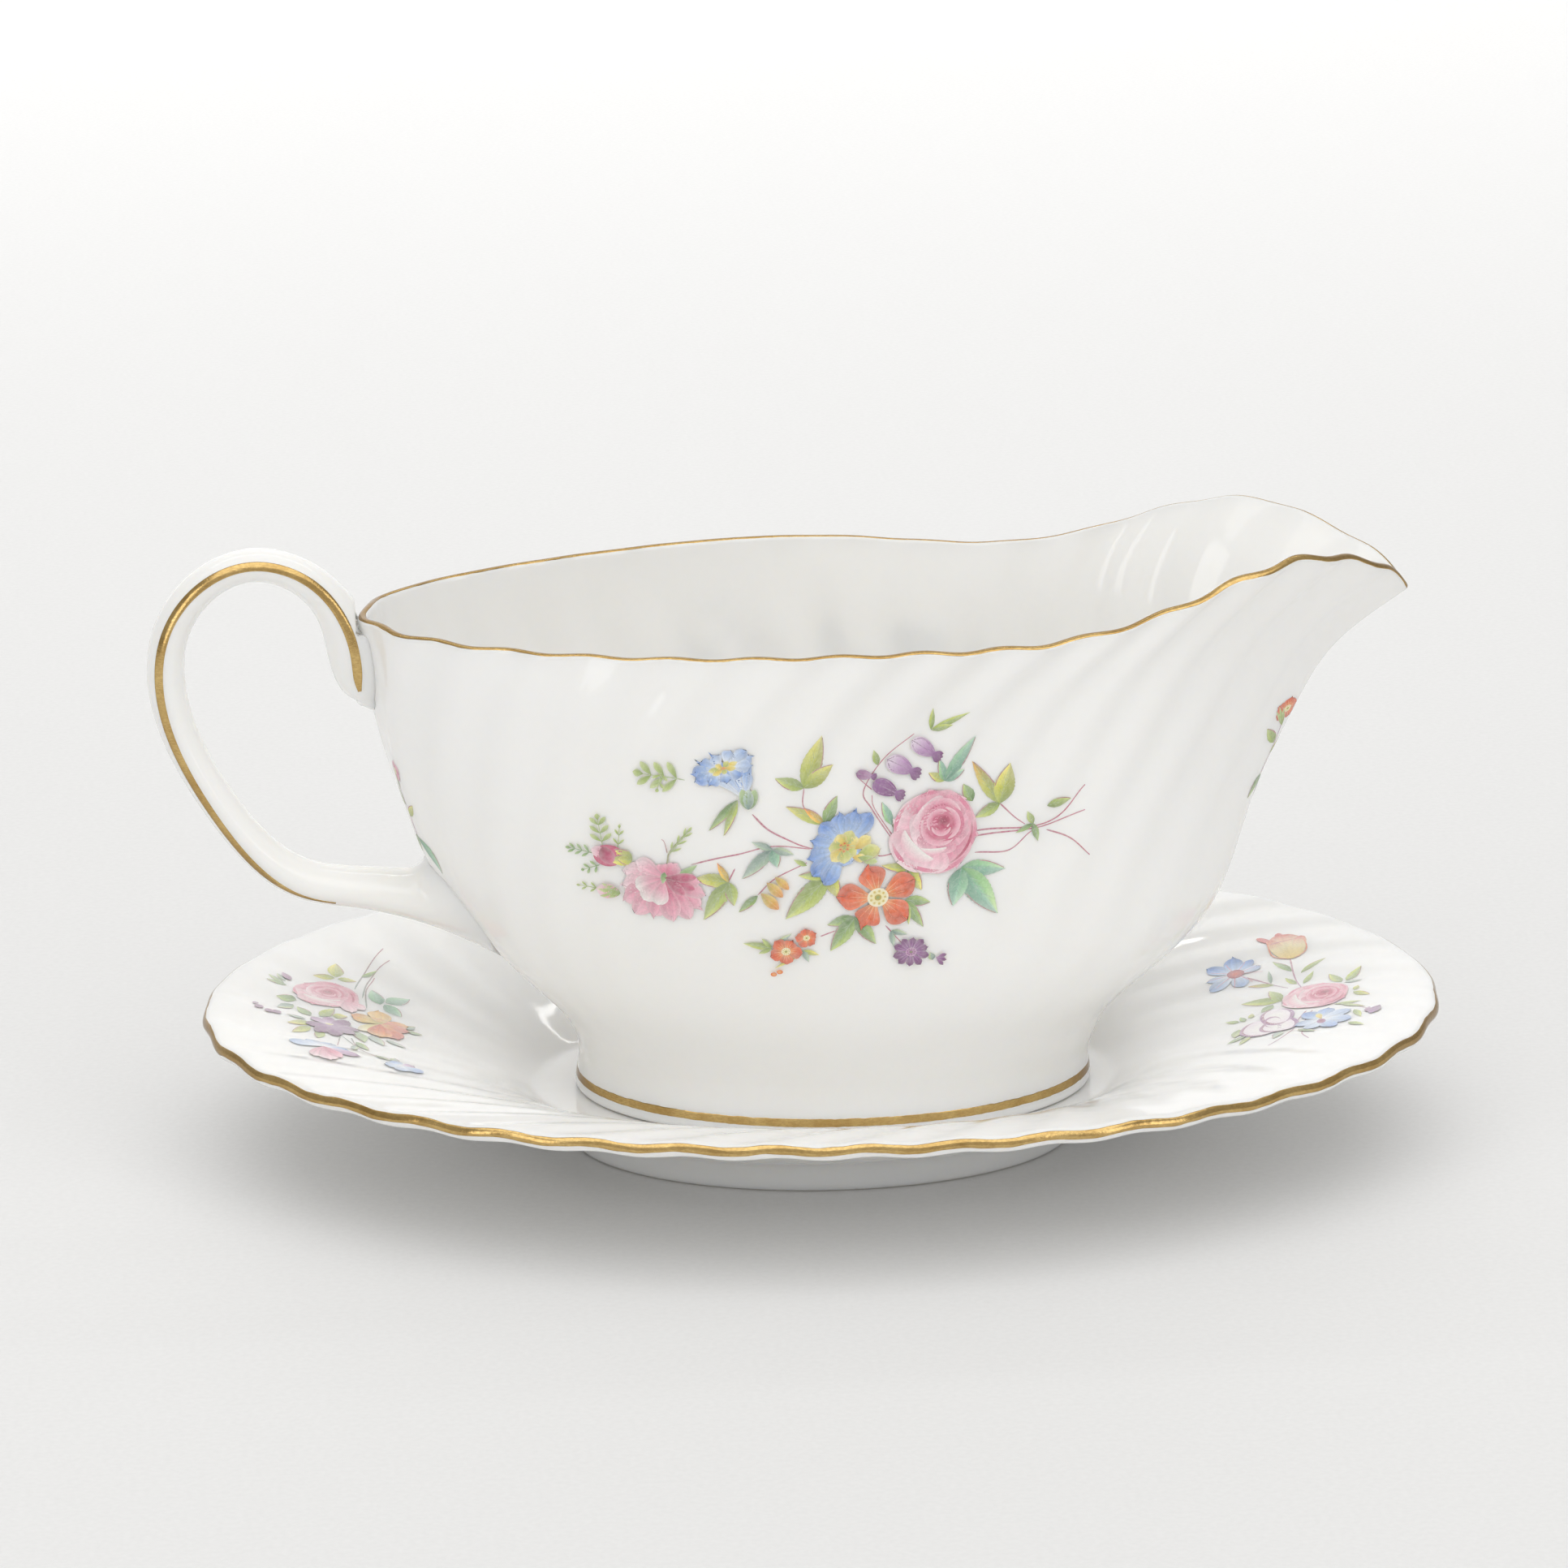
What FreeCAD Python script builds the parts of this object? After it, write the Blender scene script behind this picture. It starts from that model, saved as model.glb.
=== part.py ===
"""Porcelain gravy boat standing on its own oval fluted stand.

Frame: origin in the middle of the stand's foot ring, on the table.
+X points to the pouring lip, -X to the handle, +Z is up.  Sizes in mm.
"""
import math
import os

import FreeCAD
import Part
import Sketcher

os.makedirs("parts", exist_ok=True)
doc = FreeCAD.newDocument("gravy_boat")
Vector = FreeCAD.Vector

# ---------------------------------------------------------------- sizes
sheet = doc.addObject("Spreadsheet::Sheet", "sizes")
SIZES = [
    ("stand_length", 225.0, "over the fluted rim"),
    ("stand_width", 160.0, "over the fluted rim"),
    ("stand_height", 26.8, "table to the top of the rim"),
    ("stand_wall", 3.4, "china thickness of the stand"),
    ("ring_length", 92.6, "outside of the stand's foot ring"),
    ("ring_width", 64.0, "outside of the stand's foot ring"),
    ("seat_height", 10.4, "table to the flat well the boat stands in"),
    ("stand_flutes", 38.0, "soft ribs round the stand's rim"),
    ("stand_flute_depth", 0.25, "rise and fall of one rib at the stand's rim"),
    ("boat_seat_gap", 0.1, "air between the well and the boat's foot"),
    ("foot_height", 2.9, "boat foot, from its underside to the middle of the gold band"),
    ("boat_wall", 3.2, "china thickness of the boat's belly"),
    ("boat_lip", 2.0, "china thickness of the boat's rim"),
    ("boat_half_width", 41.6, "middle line to the outside of the rim"),
    ("boat_flutes", 30.0, "soft ribs round the boat's rim"),
    ("boat_flute_depth", 0.5, "swing of one rib at the boat's rim"),
    ("gilding_proud", 0.12, "gilding above the glaze"),
    ("gilding_sunk", 0.18, "gilding below the surface, so that it is held"),
    ("handle_thickness", 6.0, "grip, measured in the plane of the loop"),
    ("handle_width", 9.6, "grip, measured across the loop"),
    ("handle_line_width", 1.8, "gold line on the flank of the handle"),
]
for number, (alias, size, meaning) in enumerate(SIZES, start=1):
    sheet.set("A%d" % number, alias)
    sheet.set("B%d" % number, "%g" % size)
    sheet.set("C%d" % number, meaning)
    sheet.setAlias("B%d" % number, alias)
doc.recompute()


def size(alias):
    """One driving dimension, read back from the sheet."""
    return float(sheet.get(alias))


# ---------------------------------------------------------------- curves
def smooth(points):
    """Natural cubic curve y(x) through a few (x, y) points."""
    xs = [p[0] for p in points]
    ys = [p[1] for p in points]
    last = len(xs) - 1
    gap = [xs[i + 1] - xs[i] for i in range(last)]
    bend = [0.0] * (last + 1)
    ratio = [0.0] * (last + 1)
    for i in range(1, last):
        pull = 6.0 * ((ys[i + 1] - ys[i]) / gap[i] - (ys[i] - ys[i - 1]) / gap[i - 1])
        pivot = 2.0 * (gap[i - 1] + gap[i]) - gap[i - 1] * ratio[i - 1]
        ratio[i] = gap[i] / pivot
        bend[i] = (pull - gap[i - 1] * bend[i - 1]) / pivot
    for i in range(last - 1, 0, -1):
        bend[i] -= ratio[i] * bend[i + 1]

    def value(x):
        x = min(max(x, xs[0]), xs[-1])
        i = 0
        while i < last - 1 and x > xs[i + 1]:
            i += 1
        left = (xs[i + 1] - x) / gap[i]
        right = (x - xs[i]) / gap[i]
        curl = (left ** 3 - left) * bend[i] + (right ** 3 - right) * bend[i + 1]
        return left * ys[i] + right * ys[i + 1] + curl * gap[i] ** 2 / 6.0

    return value


def ease(x, start, end):
    """0 before start, 1 after end, a soft step between."""
    x = min(max((x - start) / (end - start), 0.0), 1.0)
    return x * x * (3.0 - 2.0 * x)


def even_turn(outline, steps=720):
    """Turn (0..1) as a function of angle, growing evenly along a closed outline."""
    walk = [0.0]
    for k in range(steps):
        a = outline(2.0 * math.pi * k / steps)
        b = outline(2.0 * math.pi * (k + 1) / steps)
        walk.append(walk[-1] + (b - a).Length)

    def turn(angle):
        place = (angle / (2.0 * math.pi)) % 1.0 * steps
        k = min(int(place), steps - 1)
        return (walk[k] + (place - k) * (walk[k + 1] - walk[k])) / walk[-1]

    return turn


# ---------------------------------------------------------------- stand
STAND_SWIRL = 0.42          # how far a rib leans between the rim and the well, in radians
STAND_SCALLOP = 0.25        # swing of the rim's outline with the ribs
# height of the upper face, from the well (0) to the rim (1)
stand_rise = smooth([(0.0, 0.0), (0.06, 0.0), (0.10, 0.012), (0.16, 0.13), (0.25, 0.31),
                     (0.36, 0.47), (0.50, 0.63), (0.72, 0.835), (0.87, 0.935), (1.0, 1.0)])


def stand_oval(spread, angle):
    """Plan outline: foot ring at spread 0, rim at spread 1."""
    half_x = 0.5 * (size_ring_x + spread * (size_stand_x - size_ring_x))
    half_y = 0.5 * (size_ring_y + spread * (size_stand_y - size_ring_y))
    return Vector(half_x * math.cos(angle), half_y * math.sin(angle), 0.0)


size_ring_x = size("ring_length")
size_ring_y = size("ring_width")
stand_wall = size("stand_wall")
stand_lip = 0.85 * stand_wall
seat = size("seat_height")
# the upper face ends where the rounded lip begins, and the ribs swing outwards from there
lip_reach = stand_lip + 2.0 * STAND_SCALLOP
size_stand_x = size("stand_length") - lip_reach
size_stand_y = size("stand_width") - lip_reach
stand_rim_turn = even_turn(lambda angle: stand_oval(1.0, angle))


def stand_skin(spread, angle):
    """Upper face of the stand at one place, with its ribs."""
    turn = stand_rim_turn(angle - STAND_SWIRL * (1.0 - spread))
    wave = math.cos(2.0 * math.pi * size("stand_flutes") * turn)
    strength = ease(spread, 0.12, 0.85)
    grow = STAND_SCALLOP * strength * wave / (0.5 * (size_stand_x - size_ring_x))
    point = stand_oval(spread + grow, angle)
    climb = size("stand_height") - 0.1 * stand_lip - seat
    point.z = seat + climb * stand_rise(spread) - size("stand_flute_depth") * strength * wave
    return point


# ---------------------------------------------------------------- boat
BOAT_SWIRL = 0.5            # how far a rib leans between the rim and the foot, in radians
BOAT_RIB_START = 0.15       # place of the first rib past the pouring lip, in ribs
BOAT_RIM_WAVE = 0.15        # how far the rim dips where a rib reaches it
foot_bottom = seat + size("boat_seat_gap")
band_height = foot_bottom + size("foot_height")
half_width = size("boat_half_width")
RIM_HEIGHT = 99.6
# height, reach towards the handle, reach towards the lip, half width
BOAT_STATIONS = [
    (foot_bottom, 45.4, 49.2, 32.9),
    (band_height, 45.0, 48.8, 32.5),
    (17.0, 44.6, 48.7, 31.9),
    (20.5, 45.0, 49.9, 32.2),
    (25.5, 47.6, 52.4, 33.8),
    (32.0, 54.2, 59.8, 36.6),
    (41.0, 62.6, 69.4, 39.2),
    (52.0, 70.2, 74.8, 40.8),
    (66.0, 76.2, 79.3, 41.5),
    (80.0, 80.0, 86.0, 41.5),
    (92.0, 82.0, 94.4, 41.5),
    (RIM_HEIGHT, 83.0, 105.3, half_width),
]
boat_back = smooth([(row[0], row[1]) for row in BOAT_STATIONS])
boat_front = smooth([(row[0], row[2]) for row in BOAT_STATIONS])
boat_side = smooth([(row[0], row[3]) for row in BOAT_STATIONS])
# plan of the rim: width against a true oval, from the handle end (-1) to the lip (+1)
rim_pinch = smooth([(-1.0, 0.97), (-0.6, 1.01), (-0.1, 1.0), (0.35, 0.87),
                    (0.77, 0.765), (0.87, 0.60), (0.93, 0.46), (0.97, 0.36), (1.0, 0.30)])
# rise of the rim above RIM_HEIGHT along the same way: two cheeks beside the pouring lip
rim_lift = smooth([(-1.0, 0.0), (-0.5, 0.9), (0.0, 1.3), (0.3, 1.4), (0.52, 6.3),
                   (0.66, 10.2), (0.78, 11.0), (0.87, 8.6), (0.925, 6.4), (0.966, 4.0), (1.0, 0.0)])


def boat_oval(height, angle):
    """The smooth outside of the boat at one height and angle (0 is the lip)."""
    along = math.cos(angle)
    front = boat_front(height)
    back = boat_back(height)
    pinched = ease(height, 22.0, RIM_HEIGHT)
    narrow = 1.0 + pinched * (rim_pinch(along) - 1.0)
    x = 0.5 * (front - back) + 0.5 * (front + back) * along
    y = boat_side(height) * narrow * math.sin(angle)
    raised = max(height - 40.0, 0.0) / (RIM_HEIGHT - 40.0)
    return Vector(x, y, height + rim_lift(along) * raised ** 2)


boat_rim_turn = even_turn(lambda angle: boat_oval(RIM_HEIGHT, angle))


def boat_normal(height, angle):
    """Outward direction of the smooth outside."""
    step = 0.01
    low = max(height - step * 10.0, foot_bottom)
    high = min(height + step * 10.0, RIM_HEIGHT)
    up = boat_oval(high, angle) - boat_oval(low, angle)
    around = boat_oval(height, angle + step) - boat_oval(height, angle - step)
    return around.cross(up).normalize()


def boat_skin(height, angle):
    """The outside of the boat with its ribs."""
    level = (height - foot_bottom) / (RIM_HEIGHT - foot_bottom)
    turn = boat_rim_turn(angle + BOAT_SWIRL * (1.0 - level))
    wave = math.cos(2.0 * math.pi * (size("boat_flutes") * turn - BOAT_RIB_START))
    strength = ease(level, 0.12, 0.9)
    point = boat_oval(height, angle)
    point += boat_normal(height, angle) * size("boat_flute_depth") * strength * wave
    point.z -= BOAT_RIM_WAVE * ease(level, 0.8, 1.0) * wave
    return point


# ---------------------------------------------------------------- shells
def skin_through(rows, closed_section):
    """Smooth surface over rows of points; each row runs once round the oval."""
    around = len(rows[0])
    ring_knots = [float(k) for k in range(around + 1)]
    ring_mults = [1] * (around + 1)
    if closed_section:
        up_knots = [float(k) for k in range(len(rows) + 1)]
        up_mults = [1] * (len(rows) + 1)
    else:
        up_knots = [float(k) for k in range(len(rows) - 2)]
        up_mults = [4] + [1] * (len(rows) - 4) + [4]
    surface = Part.BSplineSurface()
    surface.buildFromPolesMultsKnots(rows, up_mults, ring_mults, up_knots, ring_knots,
                                     closed_section, True, 3, 3)
    return surface


def sound_solid(faces):
    """Closed solid from faces that share their edges."""
    shell = Part.makeShell(faces)
    shell.sewShape()
    solid = Part.makeSolid(Part.Shell(shell.Faces))
    solid.fix(1e-4, 1e-4, 1e-3)
    if solid.Volume < 0.0:
        solid.reverse()
    return solid


def band_solid(rows):
    """Solid of a closed band: the last row joins the first."""
    return sound_solid([skin_through(rows, True).toShape()])


def vessel_solid(*stretches):
    """Solid from stretches of rows.

    The first and the last row are closed by flat lids, and a flat ring joins the
    end of each stretch to the start of the next.
    """
    faces = []
    open_edge = None
    for rows in stretches:
        surface = skin_through(rows, False)
        faces.append(surface.toShape())
        low, high = surface.getUKnots()[0], surface.getUKnots()[-1]
        first = Part.Wire([surface.uIso(low).toShape()])
        if open_edge is None:
            faces.append(Part.Face(first))
        else:
            faces.append(Part.makeFace([first, open_edge], "Part::FaceMakerBullseye"))
        open_edge = Part.Wire([surface.uIso(high).toShape()])
    faces.append(Part.Face(open_edge))
    return sound_solid(faces)


def lathe_rows(section, angles):
    """Rows of points, one row for every entry of the section."""
    return [[place(angle) for angle in angles] for place in section]


def even_angles(turn, count):
    """Angles that step evenly along the outline measured by turn."""
    angles = []
    for k in range(count):
        low = 0.0
        high = 2.0 * math.pi
        for _ in range(40):
            middle = 0.5 * (low + high)
            if turn(middle) < k / count:
                low = middle
            else:
                high = middle
        angles.append(0.5 * (low + high))
    return angles


def finish(label, shape):
    """Put a finished shape into the document as one named piece."""
    piece = doc.addObject("Part::Feature", label)
    piece.Label = label
    piece.Shape = shape
    piece.Placement = FreeCAD.Placement()
    return piece


# ---------------------------------------------------------------- the stand
STEPS_PER_RIB = 6
stand_angles = even_angles(stand_rim_turn, STEPS_PER_RIB * int(size("stand_flutes")))


def stand_normal(spread, angle):
    """Upward direction of the stand's ribbed upper face."""
    step = 0.004
    inner = max(spread - step, 0.0)
    outer = min(spread + step, 1.0)
    out = stand_skin(outer, angle) - stand_skin(inner, angle)
    around = stand_skin(spread, angle + step) - stand_skin(spread, angle - step)
    return out.cross(around).normalize()


def stand_thickness(spread):
    """China thickness: full in the bowl, thinner at the lip."""
    return stand_wall + ease(spread, 0.5, 1.0) * (stand_lip - stand_wall)


def stand_lip_point(angle, roll, lift):
    """Rounded lip of the stand; roll 0 is its upper face, 180 its underside."""
    top = stand_skin(1.0, angle)
    up = stand_normal(1.0, angle)
    out = (stand_skin(1.0, angle) - stand_skin(0.98, angle)).normalize()
    radius = 0.5 * stand_lip
    turned = math.radians(roll)
    ray = up * math.cos(turned) + out * math.sin(turned)
    return top - up * radius + ray * (radius + lift)


def stand_face(spread):
    """One row of the upper face."""
    return lambda angle: stand_skin(spread, angle)


def stand_under(spread):
    """One row of the underside."""
    depth = stand_thickness(spread)
    return lambda angle: stand_skin(spread, angle) - stand_normal(spread, angle) * depth


def stand_ring(inset, height):
    """One oval of the foot ring: how far in from its outside, and how high."""
    def place(angle):
        point = stand_oval(0.0, angle)
        flat = Vector(point.x / size_ring_x, point.y / size_ring_y, 0.0).normalize()
        point = point - flat * inset
        point.z = height
        return point
    return place


def stand_lip_row(roll, lift):
    """One row of the lip."""
    return lambda angle: stand_lip_point(angle, roll, lift)


def stand_well(spread):
    """Edge of the flat well."""
    def place(angle):
        point = stand_oval(spread, angle)
        point.z = seat
        return point
    return place


recess = seat - stand_wall
WELL_EDGE = 0.08            # spread at which the upper face becomes the flat well
stand_hollow = [stand_ring(inset, height) for inset, height in (
    (18.0, recess), (12.0, recess), (8.5, recess - 0.1), (6.6, recess - 0.7), (5.6, 3.2),
    (5.2, 1.0), (4.8, 0.2), (4.3, 0.0))]
stand_bowl = [stand_ring(inset, height) for inset, height in (
    (1.0, 0.0), (0.4, 0.2), (0.0, 1.0), (-0.1, 2.6), (-0.4, 4.4), (-1.4, 5.9))]
stand_bowl += [stand_under(0.07 + 0.93 * k / 22.0) for k in range(23)]
stand_bowl += [stand_lip_row(roll, 0.0) for roll in (155.0, 125.0, 90.0, 55.0, 25.0)]
stand_bowl += [stand_face(1.0 - (0.96 - WELL_EDGE) * k / 24.0) for k in range(25)]
stand_bowl += [stand_well(spread) for spread in (WELL_EDGE + 0.02, WELL_EDGE)]
finish("stand", vessel_solid(lathe_rows(stand_hollow, stand_angles),
                             lathe_rows(stand_bowl, stand_angles)))

proud = size("gilding_proud")
sunk = -size("gilding_sunk")
# the gold of the stand covers the outer edge of the lip and leaves its underside white
rolls = (32.0, 50.0, 68.0, 86.0, 103.0)
band = [stand_lip_row(roll, proud) for roll in rolls]
band += [stand_lip_row(roll, sunk) for roll in rolls[::-1]]
finish("stand_rim_gilding", band_solid(lathe_rows(band, stand_angles)))

# ---------------------------------------------------------------- the boat
boat_angles = even_angles(boat_rim_turn, STEPS_PER_RIB * int(size("boat_flutes")))
belly_wall = size("boat_wall")
lip_wall = size("boat_lip")


def boat_face(height, lift):
    """Outside of the boat, moved along its own normal."""
    return lambda angle: boat_skin(height, angle) + boat_normal(height, angle) * lift


def boat_inside(height):
    """Inside of the boat; the china thins towards the rim."""
    wall = belly_wall + ease(height, 50.0, RIM_HEIGHT) * (lip_wall - belly_wall)
    return boat_face(height, -wall)


def boat_lip_row(roll, lift):
    """Rounded lip of the boat; roll 0 is its outside, 180 its inside."""
    turned = math.radians(roll)
    radius = 0.5 * lip_wall

    def place(angle):
        out = boat_normal(RIM_HEIGHT, angle)
        up = (boat_oval(RIM_HEIGHT, angle) - boat_oval(RIM_HEIGHT - 1.0, angle)).normalize()
        ray = out * math.cos(turned) + up * math.sin(turned)
        return boat_skin(RIM_HEIGHT, angle) - out * radius + ray * (radius + lift)
    return place


def boat_ring(level, inset, height):
    """One flat oval: the outline at a level, drawn in by inset, at the height given."""
    def place(angle):
        point = boat_oval(level, angle)
        middle = 0.5 * (boat_front(level) - boat_back(level))
        half_x = 0.5 * (boat_front(level) + boat_back(level))
        half_y = boat_side(level)
        return Vector(middle + (point.x - middle) * (half_x - inset) / half_x,
                      point.y * (half_y - inset) / half_y, height)
    return place


recess = foot_bottom + 2.6
boat_hollow = [boat_ring(foot_bottom, inset, height) for inset, height in (
    (14.0, recess), (9.0, recess), (6.4, recess - 0.1), (5.1, recess - 0.7),
    (4.5, foot_bottom + 0.8), (4.1, foot_bottom + 0.15), (3.7, foot_bottom))]
boat_wall_rows = [boat_ring(foot_bottom, inset, height) for inset, height in (
    (0.9, foot_bottom), (0.4, foot_bottom + 0.1))]
boat_wall_rows += [boat_face(foot_bottom + 0.7 * k, 0.0) for k in range(1, 15)]
lowest = foot_bottom + 0.7 * 14
boat_wall_rows += [boat_face(lowest + (RIM_HEIGHT - lowest) * k / 26.0, 0.0)
                   for k in range(1, 27)]
boat_wall_rows += [boat_lip_row(roll, 0.0) for roll in (25.0, 55.0, 90.0, 125.0, 155.0)]
INNER_LOW = 25.5            # below this level the inside rounds into its floor
boat_wall_rows += [boat_inside(RIM_HEIGHT + (INNER_LOW - RIM_HEIGHT) * k / 24.0)
                   for k in range(25)]
boat_wall_rows += [boat_ring(INNER_LOW, belly_wall + inset, height) for inset, height in (
    (1.6, 22.4), (4.0, 20.0), (7.5, 18.4), (12.0, 17.5), (17.0, 17.2), (22.0, 17.2))]
finish("boat_body", vessel_solid(lathe_rows(boat_hollow, boat_angles),
                                 lathe_rows(boat_wall_rows, boat_angles)))

# the gold of the boat covers the outer half of the lip and just turns over its top
rolls = (2.0, 25.0, 50.0, 75.0, 100.0)
band = [boat_lip_row(roll, proud) for roll in rolls]
band += [boat_lip_row(roll, sunk) for roll in rolls[::-1]]
finish("boat_rim_gilding", band_solid(lathe_rows(band, boat_angles)))

foot_rows = (-0.8, -0.3, 0.3, 0.8)
band = [boat_face(band_height + rise, proud) for rise in foot_rows]
band += [boat_face(band_height + rise, sunk) for rise in foot_rows[::-1]]
finish("boat_foot_gilding", band_solid(lathe_rows(band, boat_angles)))

# ---------------------------------------------------------------- the handle
# Stations along the middle of the loop, from the tab below the rim, up over the top and
# down to the lower end: x, z, heading of the run (degrees from +X towards +Z), thickness in
# the plane of the loop and width across it (both against the grip), and how far out of the
# middle of the flank the gold line runs.
HANDLE = [
    (-82.2, 85.2, 100.0, 0.57, 0.72, 0.0),
    (-83.3, 88.0, 101.0, 1.17, 1.10, 0.0),
    (-84.3, 94.0, 103.0, 1.50, 1.24, 0.1),
    (-86.9, 101.0, 120.0, 1.25, 1.14, 0.2),
    (-92.6, 107.2, 148.0, 1.04, 1.04, 0.3),
    (-101.6, 109.9, 184.0, 0.95, 1.00, 0.33),
    (-110.4, 106.3, 218.0, 1.00, 1.00, 0.35),
    (-116.0, 98.6, 248.0, 1.07, 1.00, 0.37),
    (-117.3, 89.0, 273.0, 1.13, 1.02, 0.4),
    (-114.9, 78.4, 290.0, 1.10, 1.02, 0.43),
    (-109.2, 67.2, 302.0, 1.06, 1.02, 0.48),
    (-101.4, 56.8, 316.0, 1.10, 1.02, 0.56),
    (-93.0, 51.2, 336.0, 1.18, 1.06, 0.6),
    (-84.0, 49.6, 349.0, 1.20, 1.14, 0.6),
    (-75.6, 48.2, 355.0, 1.42, 1.28, 0.6),
    (-70.4, 47.0, 360.0, 1.66, 1.42, 0.6),
    (-63.8, 45.6, 382.0, 2.25, 1.66, 0.6),
]


def add_oval_sketch(body, number, station):
    """Oval cross-section of the handle on its own tilted plane; always wider than thick."""
    x, z, heading, thick, wide, _ = station
    turned = math.radians(heading)
    run = Vector(math.cos(turned), 0.0, math.sin(turned))
    side = Vector(0.0, 1.0, 0.0)
    sketch = body.newObject("Sketcher::SketchObject", "section_%02d" % number)
    plane = [item for item in body.Origin.OriginFeatures if item.Role == "XY_Plane"][0]
    sketch.AttachmentSupport = [(plane, "")]
    sketch.MapMode = "FlatFace"
    sketch.AttachmentOffset = FreeCAD.Placement(
        Vector(x, 0.0, z), FreeCAD.Rotation(side.cross(run), side, run, "ZXY"))
    half_thick = 0.5 * thick * size("handle_thickness")
    half_wide = 0.5 * wide * size("handle_width")
    oval = sketch.addGeometry(Part.Ellipse(
        Vector(0.0, half_wide, 0.0), Vector(half_thick, 0.0, 0.0), Vector(0.0, 0.0, 0.0)), False)
    long_axis, short_axis = oval + 1, oval + 2
    sketch.exposeInternalGeometry(oval)
    sketch.addConstraint(Sketcher.Constraint("Coincident", oval, 3, -1, 1))
    sketch.addConstraint(Sketcher.Constraint("PointOnObject", long_axis, 1, -2))
    for axis, name, factor in ((long_axis, "wide", wide), (short_axis, "thick", thick)):
        driver = "handle_width" if name == "wide" else "handle_thickness"
        rule = sketch.addConstraint(Sketcher.Constraint("Distance", axis, factor * size(driver)))
        sketch.renameConstraint(rule, name)
        sketch.setExpression("Constraints." + name, "sizes.%s * %g" % (driver, factor))
    return sketch


handle = doc.addObject("PartDesign::Body", "boat_handle")
handle.Label = "boat_handle"
doc.recompute()
ovals = [add_oval_sketch(handle, number, station) for number, station in enumerate(HANDLE)]
doc.recompute()
loop = handle.newObject("PartDesign::AdditiveLoft", "handle_loop")
loop.Profile = ovals[0]
loop.Sections = ovals[1:]
doc.recompute()
handle.Placement = FreeCAD.Placement()

columns = [smooth([(k, row[column]) for k, row in enumerate(HANDLE)]) for column in range(6)]


def handle_line_row(place, turn_side, reach):
    """Closed row round the thin section of one gold line, at one place along the handle."""
    x, z, heading, thick, wide, offset = [column(place) for column in columns]
    turned = math.radians(heading)
    outward = Vector(math.sin(turned), 0.0, -math.cos(turned))
    side = Vector(0.0, turn_side, 0.0)
    half_thick = 0.5 * thick * size("handle_thickness")
    half_wide = 0.5 * wide * size("handle_width")
    start = math.asin(offset)
    row = []
    for across, lift in ((-1.0, proud), (-0.5, proud), (0.0, proud), (0.5, proud), (1.0, proud),
                         (1.0, sunk), (0.5, sunk), (0.0, sunk), (-0.5, sunk), (-1.0, sunk)):
        flank = math.hypot(half_thick * math.cos(start), half_wide * math.sin(start))
        angle = start + across * reach / flank
        rise = math.sin(angle)
        flat = math.cos(angle)
        point = Vector(x, 0.0, z) + outward * (half_thick * rise) + side * (half_wide * flat)
        normal = outward * (half_wide * rise) + side * (half_thick * flat)
        row.append(point + normal.normalize() * lift)
    return row


line_half = 0.5 * size("handle_line_width")
LINE_START = 0.9            # station where each gold line begins, on the tab
LINE_END = 12.6             # station where it runs out to a point, on the stem
LINE_ROWS = 64
for label, turn_side in (("handle_gilding_left", 1.0), ("handle_gilding_right", -1.0)):
    rows = []
    for k in range(LINE_ROWS + 1):
        share = k / LINE_ROWS
        taper = 0.25 + 0.75 * min(ease(share, -0.02, 0.06), 1.0 - ease(share, 0.86, 1.0))
        place = LINE_START + share * (LINE_END - LINE_START)
        rows.append(handle_line_row(place, turn_side, line_half * taper))
    finish(label, vessel_solid(rows))

# ---------------------------------------------------------------- out to files
doc.recompute()
NODES = ["stand", "stand_rim_gilding", "boat_body", "boat_rim_gilding", "boat_foot_gilding",
         "boat_handle", "handle_gilding_left", "handle_gilding_right"]
for item in doc.Objects:
    if "Invalid" in item.State or "Error" in item.State:
        raise RuntimeError("%s did not compute" % item.Name)
for name in NODES:
    piece = doc.getObjectsByLabel(name)[0]
    shape = piece.Shape
    if shape.isNull() or not shape.isValid() or len(shape.Solids) != 1:
        raise RuntimeError("%s is not one sound solid" % name)
    shape.exportStep("parts/%s.step" % name)
    box = shape.BoundBox
    print("%-22s %9.1f mm3  x %7.1f %7.1f  y %6.1f %6.1f  z %6.1f %6.1f" % (
        name, shape.Volume, box.XMin, box.XMax, box.YMin, box.YMax, box.ZMin, box.ZMax))
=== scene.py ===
"""Looks of the porcelain gravy boat on its stand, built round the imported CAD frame.

Metres, +X towards the pouring lip, +Z up, the camera looks along +Y.  The shapes below are
written in millimetres and scaled once, when a mesh is made.
"""
import math
import random

import bpy
import numpy as np
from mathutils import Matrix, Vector
from mathutils.bvhtree import BVHTree


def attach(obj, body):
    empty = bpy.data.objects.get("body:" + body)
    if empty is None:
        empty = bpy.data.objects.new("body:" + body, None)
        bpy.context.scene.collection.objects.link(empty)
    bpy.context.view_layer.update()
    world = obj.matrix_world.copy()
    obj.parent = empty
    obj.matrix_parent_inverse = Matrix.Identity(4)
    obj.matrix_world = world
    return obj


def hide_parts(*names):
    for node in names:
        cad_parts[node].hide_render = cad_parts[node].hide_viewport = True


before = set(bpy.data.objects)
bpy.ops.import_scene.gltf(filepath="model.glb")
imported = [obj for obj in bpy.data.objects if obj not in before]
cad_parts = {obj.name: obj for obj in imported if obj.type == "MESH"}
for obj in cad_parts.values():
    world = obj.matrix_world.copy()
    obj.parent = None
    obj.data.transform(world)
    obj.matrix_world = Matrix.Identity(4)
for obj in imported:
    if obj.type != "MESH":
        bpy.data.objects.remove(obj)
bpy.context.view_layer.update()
MM = 0.001


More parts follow.
